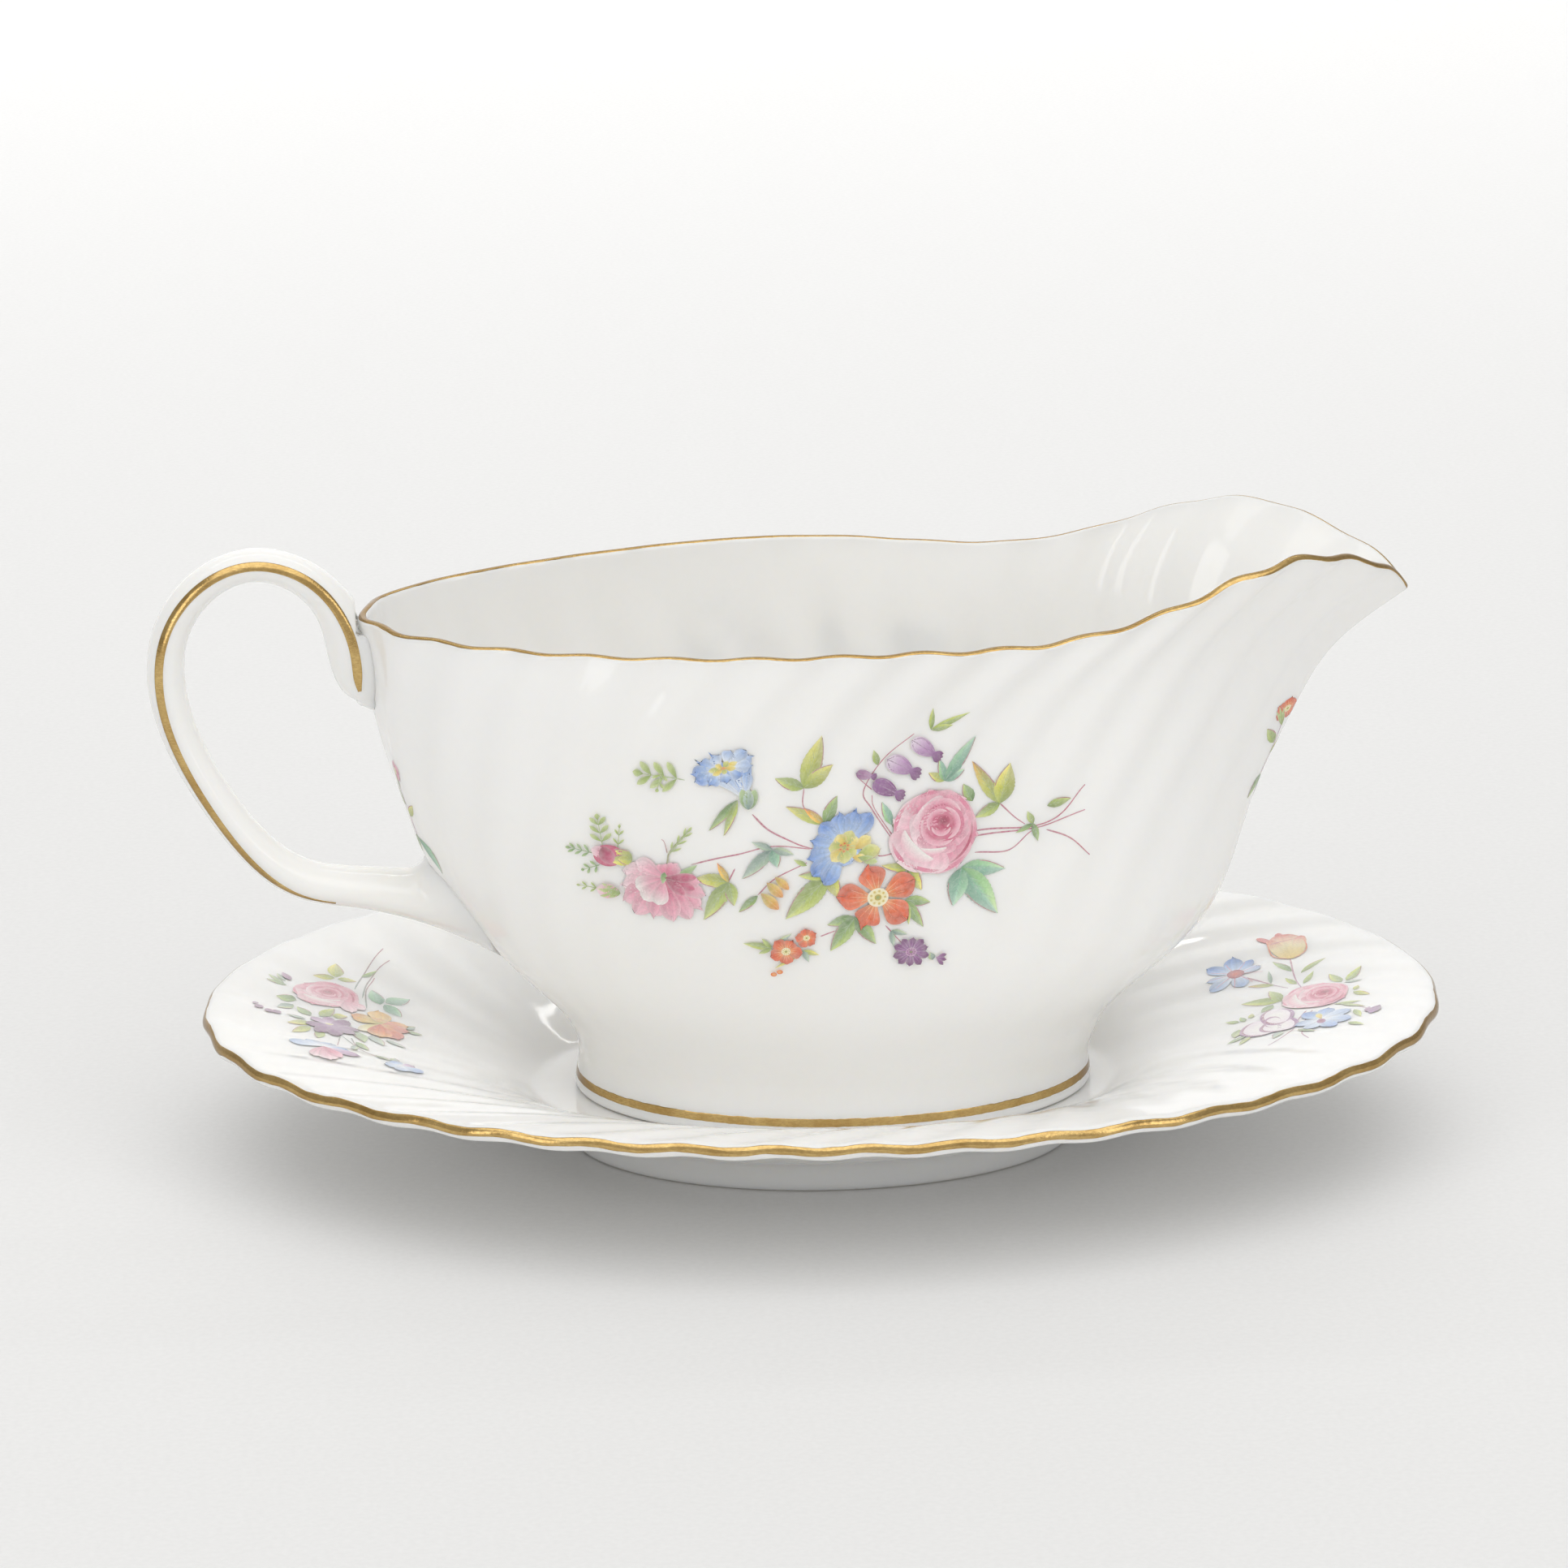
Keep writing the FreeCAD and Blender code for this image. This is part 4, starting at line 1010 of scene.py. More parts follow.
def main_spray(spray):
    """Long spray of mixed flowers for the side of the boat."""
    for points, width in (
            ([(-25, -2.5), (-17.5, -0.5), (-11.5, 1), (-4.5, 0.5)], 0.32),
            ([(-14.5, 7), (-11.5, 4), (-7, 1.5), (-4, 0.5)], 0.38),
            ([(-13.5, -8), (-10.5, -5), (-5, -2)], 0.29), ([(-17.5, -3), (-19.5, -7.5)], 0.3),
            ([(-5.5, 11.5), (-5.5, 8), (-2.5, 5)], 0.27), ([(-2.5, -16), (0, -15)], 0.26),
            ([(9, -14.5), (12, -18)], 0.25), ([(11.5, -1), (8, -1.5), (6, -0.5)], 0.32),
            ([(10, 1.5), (6.5, 7), (5, 10.5), (8.5, 16), (14, 20)], 0.28),
            ([(10.5, 1.5), (7, 7), (6.5, 9.5)], 0.24), ([(6.5, 10.5), (4, 13)], 0.21),
            ([(29.5, 6), (32, 3.5), (34, 2)], 0.29), ([(24.5, 1.5), (38.5, 2), (45, 8)], 0.35),
            ([(24.5, 0.5), (34, 1), (38.5, 1.5), (45, 3.5)], 0.32),
            ([(25, -2.5), (31, -2.5), (35, 0.5), (38, 1.5)], 0.29),
            ([(38, 0.5), (42.5, -1.5), (46, -5)], 0.32)):
        spray.stroke(points, width, STEM, PAINT["rose"][0], 0.45)

    # leaves, from the upper middle round to the right, along the foot and back to the left
    cluster(spray, (-5.5, 11.5), ((72, 10, 4, "lime"), (158, 5.5, 2.5, "green"), (38, 6.5, 3, "lime")))
    cluster(spray, (-2, 5), ((154, 7.5, 2.3, "lime"), (141, 4.5, 1.6, "amber"), (65, 5.5, 2.4, "deep")))
    cluster(spray, (10, 4), ((112, 4.5, 1.8, "blue"), (340, 3, 1.8, "green")))
    cluster(spray, (7.5, 15), ((105, 3, 1.4, "green"),))
    cluster(spray, (19.5, 11), ((147, 3.5, 1.8, "lime"), (25, 4, 1.9, "blue"), (103, 4.5, 1.7, "blue"),
                                (54, 9.5, 2.6, "blue")))
    cluster(spray, (17, 20.5), ((22, 7.5, 1.2, "green"), (85, 4, 1.1, "green"), (10, 4, 1.2, "green")))
    cluster(spray, (29.5, 6), ((122, 9.5, 2.7, "rust"), (76, 7.5, 4.2, "lime"), (204, 5, 2.4, "green")))
    cluster(spray, (24.5, 7), ((117, 3.5, 2.3, "deep"),))
    cluster(spray, (38, 5), ((10, 4.5, 1.8, "green"),))
    cluster(spray, (35.5, 2), ((115, 2.5, 1.4, "green"), (205, 3.5, 1, "deep"), (285, 3.5, 1.4, "deep")))
    cluster(spray, (22.5, -5), ((355, 8, 3.2, "blue"), (307, 11, 5, "blue"), (258, 7, 4.1, "blue")))
    cluster(spray, (13, -4.5), ((302, 4.5, 2.6, "lime"), (165, 5, 1.7, "lime")))
    cluster(spray, (12.5, -10), ((353, 4.5, 2.1, "deep"), (302, 6, 2.1, "deep"), (278, 4.5, 1.5, "green")))
    cluster(spray, (10, -15.5), ((345, 3, 1.1, "slate"), (279, 3, 1.1, "slate")))
    cluster(spray, (3.5, -12.5), ((195, 5, 2.1, "deep"), (236, 7.5, 3.2, "deep"), (306, 6.5, 2.7, "deep")))
    cluster(spray, (17.5, -21.5), ((107, 1.5, 1.4, "slate"),))
    cluster(spray, (-1, -4.5), ((226, 11, 4.4, "green"), (178, 5.5, 2, "green"), (289, 4.5, 2.7, "lime")))
    cluster(spray, (-5, -2.5), ((155, 2.5, 1, "green"),))
    cluster(spray, (-11, 0.5), ((225, 7.5, 2.6, "slate"), (157, 4, 1.4, "slate"), (285, 3.5, 2.3, "blue"),
                                (345, 4, 1.5, "slate")))
    cluster(spray, (-18.5, -5.5), ((176, 6, 2.8, "lime"), (240, 8.5, 3.2, "green"), (282, 4.5, 2.4, "green"),
                                   (120, 4, 1.4, "amber")))
    cluster(spray, (-13.5, -8), ((223, 4.5, 1.6, "deep"),))
    cluster(spray, (-17, 9.5), ((228, 7.5, 1.8, "deep"), (250, 7, 1.6, "green")))
    cluster(spray, (-11, -18), ((170, 5, 1.4, "green"), (207, 2.5, 1, "green"), (133, 2.5, 0.9, "green"),
                                (40, 4.5, 1.2, "slate")))
    cluster(spray, (-5.5, -18.5), ((342, 3, 1, "lime"), (295, 2.5, 1.1, "slate"), (215, 6, 1, "lime")))
    for base, angle, length, width, count, paint in (
            ((-26, 13), 172, 9, 6, 3, "green"), ((-30, 14.5), 257, 4, 3, 2, "green"),
            ((-40, 0), 100, 6, 4, 3, "green"), ((-37.5, 0), 86, 4.5, 2, 2, "green"),
            ((-41.5, -1.5), 171, 5, 2.5, 3, "deep"), ((-40.5, -3.5), 205, 3.5, 2.5, 2, "deep"),
            ((-40.5, -8), 178, 4, 2, 2, "green"), ((-29, -1), 54, 7, 2, 3, "green")):
        spray.frond(base, base + polar(angle, length), width, count, paint)

    # pink flower hanging at the left, seen from its side
    top = np.array((-29.5, -5.0))
    spray.stroke([top, top + [0.5, 3], top + [1, 5], top + [4, 9]], 0.34, OUTLINE, PAINT["green"][0], 0.4)
    spray.stroke([top + [0.5, 4.5], top + [0, 6.5], top + [-0.5, 7]], 0.22, VEIN, STEM)
    spray.blade(top + [2, 0], top + [5.5, 2.5], 1.4, "deep")
    for angle, reach, wide in (
            (172, 7.0, 3.6), (196, 7.6, 3.8), (150, 5.4, 3.0), (216, 8.2, 4.2), (236, 8.4, 4.0),
            (258, 7.8, 4.0), (318, 8.6, 3.2), (300, 8.4, 3.4), (280, 8.0, 3.6), (335, 7.4, 2.8),
            (352, 6.2, 2.6), (80, 2.6, 3.4), (50, 3.4, 2.6)):
        paint = "rose_pale" if 150 <= angle < 200 else "rose"
        spray.blade(top, top + polar(angle, reach), wide, paint, full=0.7, soft=0.55, ruffle=0.07,
                    streak=0.07)
    for angle, reach, wide in ((205, 5.4, 3.4), (232, 5.8, 3.2), (258, 5.4, 3.0)):
        spray.blade(top, top + polar(angle, reach), wide, (PAINT["rose"][1], PAINT["rose_pale"][1], PAPER),
                    full=0.72, soft=0.55)
    for angle, reach, wide in ((338, 5.6, 2.0), (318, 4.6, 1.8), (2, 5.4, 1.8)):
        spray.blade(top, top + polar(angle, reach), wide, "rose_dark", full=0.62, soft=0.6)
    spray.blade(top + [0.0, 1.0], top + [-0.3, -1.2], 1.1, "deep")

    # blue bell flower at the upper left
    mouth, calyx = np.array((-19.5, 15.5)), np.array((-15.5, 9.5))
    for k in range(6):
        spray.blade(calyx, mouth + polar(-60 + 44 * k, 3.0) * [1.5, 0.8], 1.9,
                    ("sky", "sky_pale")[k % 2], full=0.75, soft=0.5, ruffle=0.1, streak=0.12)
    for k in range(11):
        spot = turn(polar(33.0 * k) * [5.4, 2.7], 21.0)
        spray.blade(mouth + spot * 0.25, mouth + spot, 2.5, "sky" if 120 < 33 * k < 300 else "sky_pale",
                    full=0.68, soft=0.55, ruffle=0.12, streak=0.12)
    for k in range(7):
        spot = turn(polar(51.0 * k + 12) * [2.7, 1.1], 21.0)
        spray.blade(mouth, mouth + spot, 1.1, ("yellow", "lime")[k % 2], full=0.6)
    spray.disc(mouth, 0.5, 0.3, 20, PAINT["scarlet"][1], PAINT["amber"][1])
    for side, paint in ((-1.2, "deep"), (1.2, "deep"), (0.0, "slate")):
        spray.blade(calyx + [0.4, -1.6], calyx + [0.4 + side, 2.0], 1.9, paint, full=0.5, soft=0.6)

    # middle: blue and yellow flower with a turned yellow petal
    spray.trumpet((1.5, 0.5), 7.2, -35.0, 0.8)
    for base, angle, length, wide, paint in (
            ((3.5, 0), 38, 3.5, 2.3, "yellow"), ((4, -1), 12, 4, 2.7, "lime"),
            ((3, -1.5), 355, 2.5, 1.6, "yellow"), ((4, -1.5), 345, 3.5, 1.6, "green")):
        spray.blade(base, base + polar(angle, length), wide, paint, full=0.6, soft=0.6)
    spray.stroke([(4.5, -2.5), (7, -1.5), (8, 0)], 0.14, VEIN)

    spray.open_flower((7.5, -9), 6.3, 5, "orange", "cream", 100.0, 0.92, 0.8, 0.16, 0.72)
    spray.rose((17.5, 2.5), 8.1, 10.0)

    for base, angle, length, width, paint in (
            ((13.5, 19), 325, 5, 3, "violet_pale"), ((9, 16), 330, 5.4, 3.3, "violet_pale"),
            ((6.5, 12), 331, 5.1, 3, "violet"), ((3.5, 14), 344, 3, 1.8, "plum")):
        spray.bell(base, base + polar(angle, length), width, paint)

    # small flowers along the foot of the spray
    spray.open_flower((-8.5, -18.5), 2.6, 5, "orange", "cream", 60.0, 0.95)
    spray.open_flower((-5, -16), 2.0, 5, "orange", "cream", 30.0, 0.9)
    for spot in ((-10.5, -23), (-9.5, -22.5)):
        spray.disc(spot, 0.55, 0.42, 0, PAINT["orange"][0], PAINT["orange"][1])
    spray.open_flower((13.5, -19.5), 3.3, 10, "violet", "plum", 12.0, 0.85, 0.9, 0.05, 0.72)
    for angle in (15, 343, 312):
        spray.blade((18, -21), (18, -21) + polar(angle, 2), 0.8, "violet", full=0.65)
    for base, width in (((-13, -7.5), 2.1), ((-12, -5.5), 1.9), ((-10.5, -4.5), 1.6)):
        tip = base + polar(-43, 2.1 * width)
        spray.blade(base, tip, width, "amber", full=0.55, soft=0.7)
        spray.stroke([base, tip], 0.14, PAINT["scarlet"][0], PAINT["amber"][1])

    # two buds at the far left
    bud = np.array((-39.0, -1.5))
    spray.disc(bud, 2.5, 2.0, 8.0, PAINT["rose"][1], PAINT["rose"][0])
    spray.blade(bud, bud + polar(163, 3), 2.1, "rose_pale", full=0.6, soft=0.6)
    cluster(spray, (-35, -2), ((150, 3.5, 2.3, "lime"), (185, 4, 2.3, "lime"), (180, 2.5, 2.3, "lime")), 1)
    spray.blade((-40, 0), (-38.5, -3), 2.6, "rose_dark", full=0.5, soft=0.6)
    spray.bud((-37, -8.5), (-41, -8), 2.8, "rose_pale")


def sprig(spray, colour):
    """Small floret over two curved leaves, for the ends of the boat."""
    spray.stroke([(0.0, -5.0), (0.6, 0.0), (0.2, 5.0)], 0.3, STEM, PAINT["plum"][1])
    spray.leaf((0.3, 1.0), (-2.6, 4.4), 1.8, "green")
    spray.leaf((0.5, -1.0), (3.0, 1.6), 1.6, "lime")
    spray.leaf((0.2, -5.0), (2.6, -11.5), 2.6, "blue", 0.12)
    spray.leaf((0.0, -4.6), (-2.4, -8.6), 1.9, "deep")
    spray.open_flower((0.2, 7.4), 2.1, 5, colour, "cream", 20.0)
    spray.bud((0.4, 4.2), (-1.6, 8.4), 1.3, colour)


def leaves(spray, rows):
    """Leaves given by base, tip, width and paint."""
    for base, tip, width, paint in rows:
        spray.leaf(base, tip, width, paint, veins=2)


def petals(spray, root, rows):
    """Petals that share one root."""
    for tip, width, paint in rows:
        spray.blade(root, tip, width, paint, full=0.66, soft=0.55, ruffle=0.06, streak=0.08, pale=0.12)


def rose_bunch(spray):
    """Bunch for the stand: a rose over a pansy, a purple flower and small blue ones."""
    for points in ([(-84.5, 20), (-82.5, 28), (-80.5, 34), (-78.5, 39.5)],
                   [(-83.2, 17), (-82.0, 24), (-80.0, 30), (-77.5, 34.5)],
                   [(-82.6, 13), (-82.4, 20), (-80.6, 27)],
                   [(-88, -5), (-88.6, -10)], [(-86, -5), (-85, -10)],
                   [(-87.5, -5), (-84, -11), (-82, -14)]):
        spray.stroke(points, 0.32, PAINT["slate"][0], STEM, 0.4)
    leaves(spray, (
        ((-87.8, 24), (-87.6, 31), 3.3, "lime"), ((-88, 23.6), (-92, 24.2), 2.3, "lime"),
        ((-87.5, 23.4), (-84, 23.6), 2.2, "lime"), ((-80, 15.5), (-81.4, 21), 3.2, "blue"),
        ((-78.9, 16.3), (-74.4, 20.6), 3.4, "blue"), ((-79.2, 15.7), (-76.3, 11.8), 3.2, "blue"),
        ((-83, 26.4), (-80, 29.8), 1.3, "deep"), ((-97, 17.5), (-100.6, 20), 1.6, "deep"),
        ((-97.5, 18.5), (-100.2, 22.8), 1.4, "deep"), ((-97.2, 20), (-98.6, 24), 1.3, "slate"),
        ((-95.4, 11), (-99, 12.3), 3.1, "deep"), ((-96, 9), (-99, 6.8), 2.9, "slate"),
        ((-93, 4.6), (-95.4, 8.2), 2.4, "deep"), ((-91.3, 5), (-88.6, 9), 2.6, "green"),
        ((-89, 6), (-86.3, 6.4), 2.2, "lime"), ((-92.8, -0.5), (-97.4, -1.6), 2.6, "lime"),
        ((-93.2, -2.6), (-96.6, -5.8), 2.4, "lime"), ((-91.4, -4), (-92, -7.4), 2.2, "green"),
        ((-84.8, -0.5), (-83.6, -6.2), 3.0, "deep"), ((-82.4, -1), (-80.2, -6.2), 2.8, "slate"),
        ((-79.6, -1.5), (-76.2, -4.6), 1.9, "slate"), ((-75.8, 5), (-72.8, 5), 1.9, "deep"),
        ((-76, 6.2), (-73.9, 8.6), 1.8, "slate"), ((-85.2, -6.8), (-83, -10), 1.8, "deep"),
        ((-85.4, -8.6), (-85.8, -12), 1.5, "slate"), ((-78.6, -16), (-78.6, -12.2), 2.0, "slate"),
        ((-82, -13.4), (-79.4, -15.6), 1.6, "deep"), ((-94, 1.2), (-97.4, 2.6), 1.6, "slate")))
    spray.rose((-90.2, 15.8), 6.3, 40.0)
    petals(spray, (-86.5, 14.5), (((-83.2, 11.6), 3.4, "rose_pale"), ((-85.6, 8.4), 3.0, "rose_pale")))
    petals(spray, (-89.6, -0.2), (
        ((-92.6, 3.6), 2.8, "violet_pale"), ((-89.8, 4.8), 2.6, "violet_pale"),
        ((-94.0, -1.4), 2.8, "violet"),
        ((-92.0, -4.6), 2.8, "violet"), ((-88.6, -5.2), 3.0, "violet"), ((-85.2, -3.2), 3.0, "violet"),
        ((-84.6, 0.6), 3.0, "violet"), ((-86.4, 4.2), 3.0, "violet"), ((-89.9, 1.2), 1.6, "cream")))
    petals(spray, (-80.4, 5.4), (
        ((-84.2, 1.2), 2.6, "cream"), ((-85.4, 7.6), 3.9, "amber"), ((-75.4, 8.0), 3.4, "scarlet"),
        ((-75.2, 4.6), 3.4, "rust_red"), ((-77.2, 0.0), 4.2, "rust_red"), ((-80.8, -0.6), 4.6, "scarlet"),
        ((-80.4, 12.4), 4.4, "pansy"), ((-80.2, 8.4), 2.2, "amber")))
    petals(spray, (-91.2, -14.0), (
        ((-97.0, -12.4), 3.4, "sky_pale"), ((-94.0, -10.2), 3.2, "sky_pale"),
        ((-90.0, -10.4), 3.2, "sky_pale"),
        ((-86.8, -14.2), 3.2, "sky"), ((-84.8, -16.8), 2.6, "violet_pale"),
        ((-93.0, -19.4), 3.0, "rose_pale"),
        ((-90.2, -21.0), 3.6, "rose_pale"), ((-88.4, -18.6), 2.6, "rose")))
    petals(spray, (-77.4, -18.0), (
        ((-80.6, -18.6), 2.8, "sky_pale"), ((-79.0, -15.8), 2.6, "sky"),
        ((-75.2, -16.6), 2.6, "violet_pale"),
        ((-73.8, -20.0), 2.8, "sky"), ((-77.6, -21.0), 2.8, "sky_pale")))
    for x, y, r in ((-102.3, 5.0, 0.8), (-102.9, 7.0, 0.55), (-100.5, 3.2, 0.8), (-99.2, 3.0, 0.85)):
        spray.disc((x, y), r, 1.2 * r, 30.0, PAINT["violet"][2], PAINT["plum"][1])
    spray.blade((-96.2, 20.8), (-97.6, 24.4), 1.5, "plum")


def tulip_bunch(spray):
    """Bunch for the stand: tulip, cornflower and rose over a mauve flower and a blue one."""
    for points in ([(89.2, 19.4), (88.6, 12), (88.8, 5)], [(79.6, 15.8), (83.5, 11), (86.6, 6.0)],
                   [(84, -16), (81.5, -20), (78, -23)], [(86, -17), (84.5, -21), (85, -25)],
                   [(87.6, -8), (85.2, -12)], [(88.6, -8.5), (86.4, -13)], [(96, -10), (99, -16)]):
        spray.stroke(points, 0.34, STEM, PAINT["plum"][1], 0.3)
    leaves(spray, (
        ((88.4, 13), (85.9, 19.6), 1.8, "deep"), ((89.9, 11.6), (95.4, 16.4), 1.6, "green"),
        ((88.4, 7.4), (86.9, 11.2), 1.4, "green"), ((89.6, 6.8), (92.2, 11.2), 1.4, "green"),
        ((84.6, 9.4), (80.0, 11.6), 1.6, "rust"), ((84.2, 10.4), (84.5, 15.4), 0.9, "slate"),
        ((84.6, 1.0), (77.6, 4.2), 3.0, "green"), ((84.4, 0.6), (83.2, 6.6), 2.5, "green"),
        ((82.8, 0.2), (80.2, -2.4), 2.2, "deep"), ((96.0, 3.4), (94.7, 8.7), 2.3, "green"),
        ((97.0, 3.8), (100.7, 9.2), 2.1, "green"), ((96.4, 2.6), (99.8, 2.8), 1.6, "slate"),
        ((97.0, -3.2), (99.6, -5.8), 1.7, "lime"), ((97.4, -2.6), (98.4, -0.6), 1.3, "lime"),
        ((92.8, -7.2), (97.6, -7.8), 1.5, "green"), ((94.0, -7.8), (97.6, -12.0), 1.6, "green"),
        ((95.4, -13.4), (95.8, -17.8), 1.5, "green"), ((75.8, -4.6), (73.6, -2.6), 1.4, "green"),
        ((76.8, -5.2), (76.4, -2.2), 1.3, "deep"), ((78.0, -4.4), (78.6, -1.8), 1.3, "lime"),
        ((75.2, -8.2), (73.6, -12.8), 2.2, "green"), ((75.8, -13.6), (71.8, -15.4), 1.5, "deep"),
        ((76.2, -14.6), (73.6, -18.0), 1.5, "green"), ((81.5, -16.6), (79.5, -20.0), 2.0, "slate"),
        ((84.4, -17.6), (86.8, -21.6), 1.8, "deep"), ((93.2, -19.2), (95.6, -22.0), 1.5, "green")))
    # tulip
    for base, tip, width, paint in (
            ((86.8, 26.4), (84.8, 30.4), 1.6, "rose_red"), ((88.6, 27.0), (88.9, 31.2), 1.6, "rose_red"),
            ((89.6, 19.2), (89.4, 30.2), 6.6, "tulip"), ((88.6, 19.6), (86.6, 28.0), 2.6, "tulip"),
            ((90.6, 19.6), (92.7, 28.0), 2.6, "tulip")):
        spray.blade(base, tip, width, paint, full=0.55, soft=0.42, shade=0.06, pale=0.0)
    for hand in (-1.0, 1.0):
        spray.stroke([(89.5 + 0.6 * hand, 19.3), (89.5 + 3.2 * hand, 22.0), (89.5 + 3.4 * hand, 27.4)],
                     0.3, PAINT["scarlet"][1], PAINT["orange"][1], 0.2)
    spray.stroke([(86.6, 26.0), (89.6, 26.5), (92.6, 26.8)], 0.4, PAINT["rose_dark"][1], PAINT["orange"][2])

    # cornflower
    petals(spray, (78.6, 17.4), (
        ((79.2, 24.4), 3.6, "sky"), ((74.4, 22.6), 3.4, "sky"), ((73.2, 17.0), 2.2, "sky_pale"),
        ((73.6, 13.4), 3.2, "sky_pale"), ((79.2, 12.2), 3.2, "sky_pale"), ((83.4, 18.6), 3.0, "sky_pale"),
        ((82.4, 22.0), 2.4, "sky")))
    for k in range(9):
        spray.stroke([(78.6, 17.4), (78.6, 17.4) + polar(20.0 + 40.0 * k, 5.2)], 0.22,
                     PAINT["rose_dark"][1], PAINT["rose"][1])
    spray.disc((78.7, 17.5), 1.6, 1.9, 0.0, PAINT["scarlet"][0], PAINT["rose_dark"][0])
    # mauve flower with drawn outlines
    for x, y, wide, high in ((78.6, -11.6, 3.4, 4.6), (81.8, -12.4, 3.2, 3.6), (82.4, -7.0, 2.7, 4.2)):
        spray.disc((x, y), wide, high, 0.0, PAPER, PAINT["violet_pale"][0])
        for start, sweep, colour in ((95.0, 200.0, PAINT["rose_dark"][0]), (285.0, 150.0, PAINT["plum"][0])):
            spray.arc((x, y), wide, start, sweep, 0.75, colour, high / wide, PAINT["violet"][0])
    spray.arc((81.2, -9.6), 1.5, 0.0, 250.0, 0.4, PAINT["plum"][1], 1.6)
    spray.rose((90.6, -0.8), 6.2, -20.0)
    # blue flower under the rose
    petals(spray, (89.2, -14.6), (
        ((87.0, -9.8), 3.0, "sky"), ((91.4, -9.6), 3.2, "sky"), ((94.6, -13.0), 3.2, "sky_pale"),
        ((93.8, -17.6), 3.2, "sky_pale"), ((90.2, -20.0), 3.2, "sky"), ((85.8, -18.8), 3.0, "sky_pale"),
        ((84.4, -14.6), 3.0, "sky_pale"), ((89.0, -11.8), 1.2, "yellow")))
    spray.disc((89.0, -15.6), 0.8, 1.1, 0.0, PAINT["rose_dark"][0], PAINT["violet"][0])
    spray.blade((97.6, -17.4), (100.2, -12.8), 2.2, "violet")
    spray.blade((97.2, -16.2), (98.2, -13.2), 1.3, "plum")


def lay_spray(name, body, tree, origin, right, up, seed, draw_flowers, fade=0.07):
    """Draws a spray and lays it on a surface; fade thins its colours towards white."""
    spray = Spray(name, body, tree, origin, right, up, seed, fade)
    draw_flowers(spray)
    spray.lay()


stand_tree = tree_of(stand_grid.reshape(-1, 3), grid_faces(len(stand_grid), stand_grid.shape[1]))
RIGHT, AWAY, UP = (1, 0, 0), (0, 1, 0), (0, 0, 1)
lay_spray("boat_flowers_front", "boat", wall_tree, (-2.2, -41, 67), RIGHT, UP, 5, main_spray)
lay_spray("boat_flowers_back", "boat", wall_tree, (2.2, 41, 67), (-1, 0, 0), UP, 6, main_spray)
lay_spray("boat_flowers_handle", "boat", wall_tree, (-78, -7, 66), (0, -1, 0), UP, 7,
          lambda spray: sprig(spray, "rose"))
lay_spray("boat_flowers_spout", "boat", wall_tree, (84, -4, 72), AWAY, UP, 8,
          lambda spray: sprig(spray, "orange"))
lay_spray("stand_flowers_left", "stand", stand_tree, (0, 0, 40), RIGHT, AWAY, 9, rose_bunch, 0.26)
lay_spray("stand_flowers_right", "stand", stand_tree, (0, 0, 40), RIGHT, AWAY, 10, tulip_bunch, 0.22)


# ================================================================ floor, light and camera
def floor_material():
    """Pale paper with a faint grain."""
    n = Nodes("pale_floor")
    paper = n.noise(900.0, 3.0)
    tone = n.mix(n.span(paper, 0.3, 0.7), rgb(0.785, 0.785, 0.785), rgb(0.815, 0.815, 0.815))
    return n.finish(Base_Color=tone, Roughness=0.7)


def add_floor():
    """Pale sheet that curves up behind the object."""
    near, back, bend, top, half, steps = -3.0, 1.6, 0.8, 4.0, 4.0, 16
    section = [(near, 0.0)]
    for k in range(steps + 1):
        turned = 0.5 * math.pi * k / steps
        section.append((back + bend * math.sin(turned), bend * (1.0 - math.cos(turned))))
    section.append((back + bend, top))
    points = [(x, y, z) for y, z in section for x in (-half, half)]
    faces = [(2 * k, 2 * k + 1, 2 * k + 3, 2 * k + 2) for k in range(len(section) - 1)]
    mesh = bpy.data.meshes.new("floor")
    mesh.from_pydata(points, [], faces)
    mesh.polygons.foreach_set("use_smooth", [True] * len(mesh.polygons))
    mesh.materials.append(floor_material())
    floor = bpy.data.objects.new("floor", mesh)
    bpy.context.scene.collection.objects.link(floor)


def put(name, data, place, aim):
    """Light or camera at a place, turned towards a point."""
    thing = bpy.data.objects.new(name, data)
    thing.location = place
    thing.rotation_euler = (Vector(aim) - Vector(place)).to_track_quat("-Z", "Y").to_euler()
    bpy.context.scene.collection.objects.link(thing)
    return thing


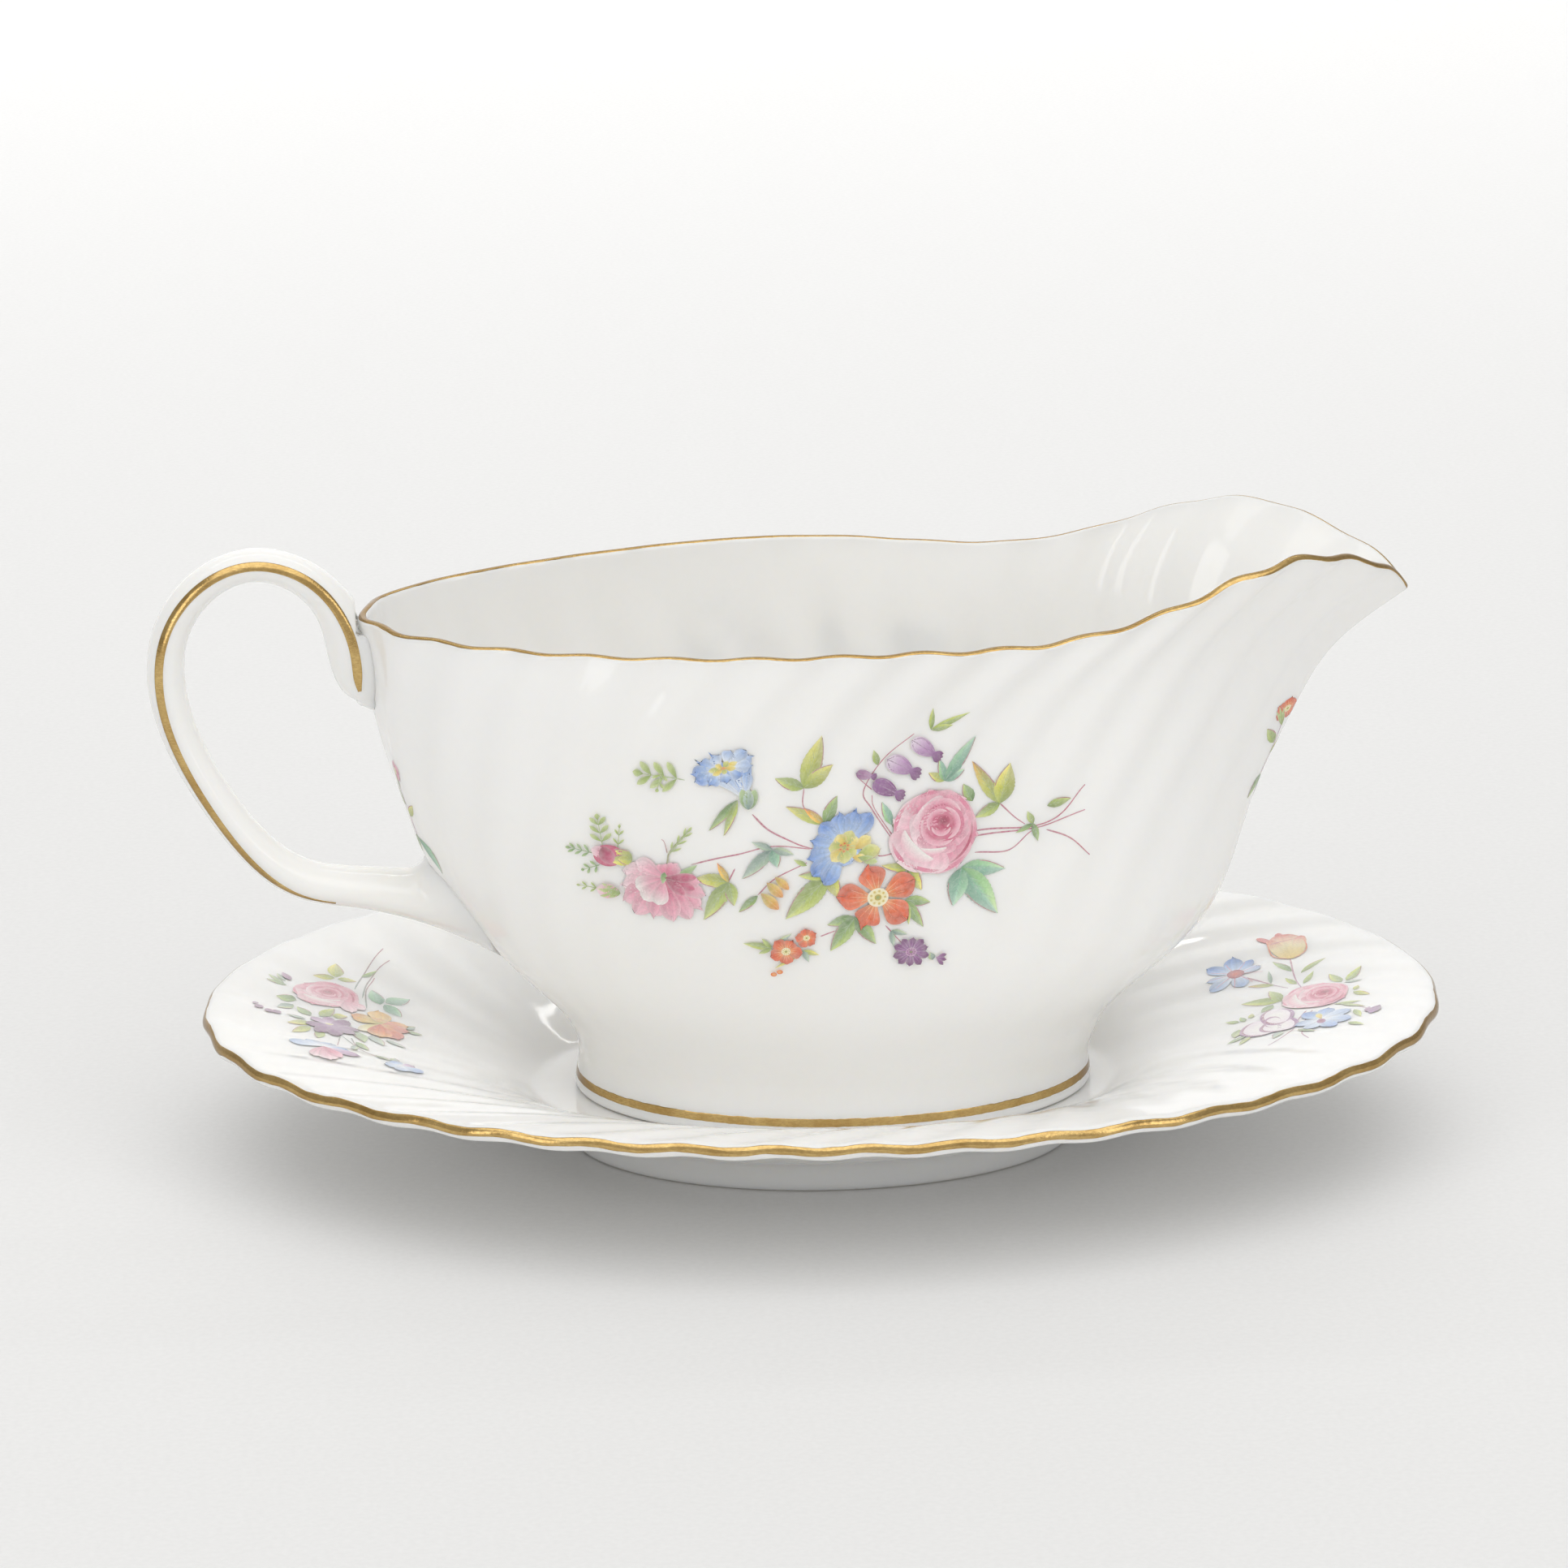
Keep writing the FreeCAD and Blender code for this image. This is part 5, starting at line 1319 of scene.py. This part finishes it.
def add_light(name, place, aim, width, height, power):
    """Soft rectangular light aimed at a point."""
    lamp = bpy.data.lights.new(name, "AREA")
    lamp.shape = "RECTANGLE"
    lamp.size, lamp.size_y = width, height
    lamp.energy = power
    put(name, lamp, place, aim)


def add_camera():
    """Camera in front and a little above, slightly turned towards the handle side."""
    camera = bpy.data.cameras.new("camera")
    camera.sensor_width, camera.lens = 36.0, 153.1
    camera.clip_start, camera.clip_end = 0.01, 20.0
    azimuth, height, distance = math.radians(-5.5), math.radians(17.14), 1.2
    target = Vector((-0.0072, 0.0, 0.0666))
    back = Vector((math.sin(azimuth) * math.cos(height), -math.cos(azimuth) * math.cos(height),
                   math.sin(height)))
    bpy.context.scene.camera = put("camera", camera, target + back * distance, target)


def add_room(front, behind, sides):
    """Surroundings: dim on the camera's side, bright behind the object, darkest to both sides."""
    n = Nodes("room", bpy.data.worlds)
    across, depth, _ = n.add("SeparateXYZ", {0: n.coordinates["Generated"]}).outputs
    lengthways = n.span(depth, -0.6, 0.2, front, behind)
    sideways = n.span(n.math("MULTIPLY", across, across), 0.12, 0.6, 1.0, sides)
    sky = n.add("Background", {"Color": rgb(1.0, 0.99, 0.965),
                               "Strength": n.math("MULTIPLY", lengthways, sideways)})
    n.add("OutputWorld", {"Surface": sky.outputs[0]})
    bpy.context.scene.world = n.owner


add_floor()
MIDDLE = (0.0, 0.0, 0.05)
add_light("side_left", (-0.98, -0.86, 0.42), MIDDLE, 0.3, 0.8, 1.3)
add_light("side_right", (0.88, -0.96, 0.42), MIDDLE, 0.3, 0.8, 1.3)
add_light("top", (0.0, -0.5, 1.25), (0.0, 0.0, 0.0), 1.9, 1.4, 8.4)
add_light("back", (0.0, 1.2, 1.6), (0.0, 2.2, 0.6), 2.4, 0.5, 24.0)
add_camera()
add_room(0.66, 0.82, 0.6)
bpy.context.scene.view_settings.view_transform = "Standard"

for side, node in (("left", "handle_gilding_left"), ("right", "handle_gilding_right")):
    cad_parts[node].data.materials.clear()
    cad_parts[node].data.materials.append(gold)
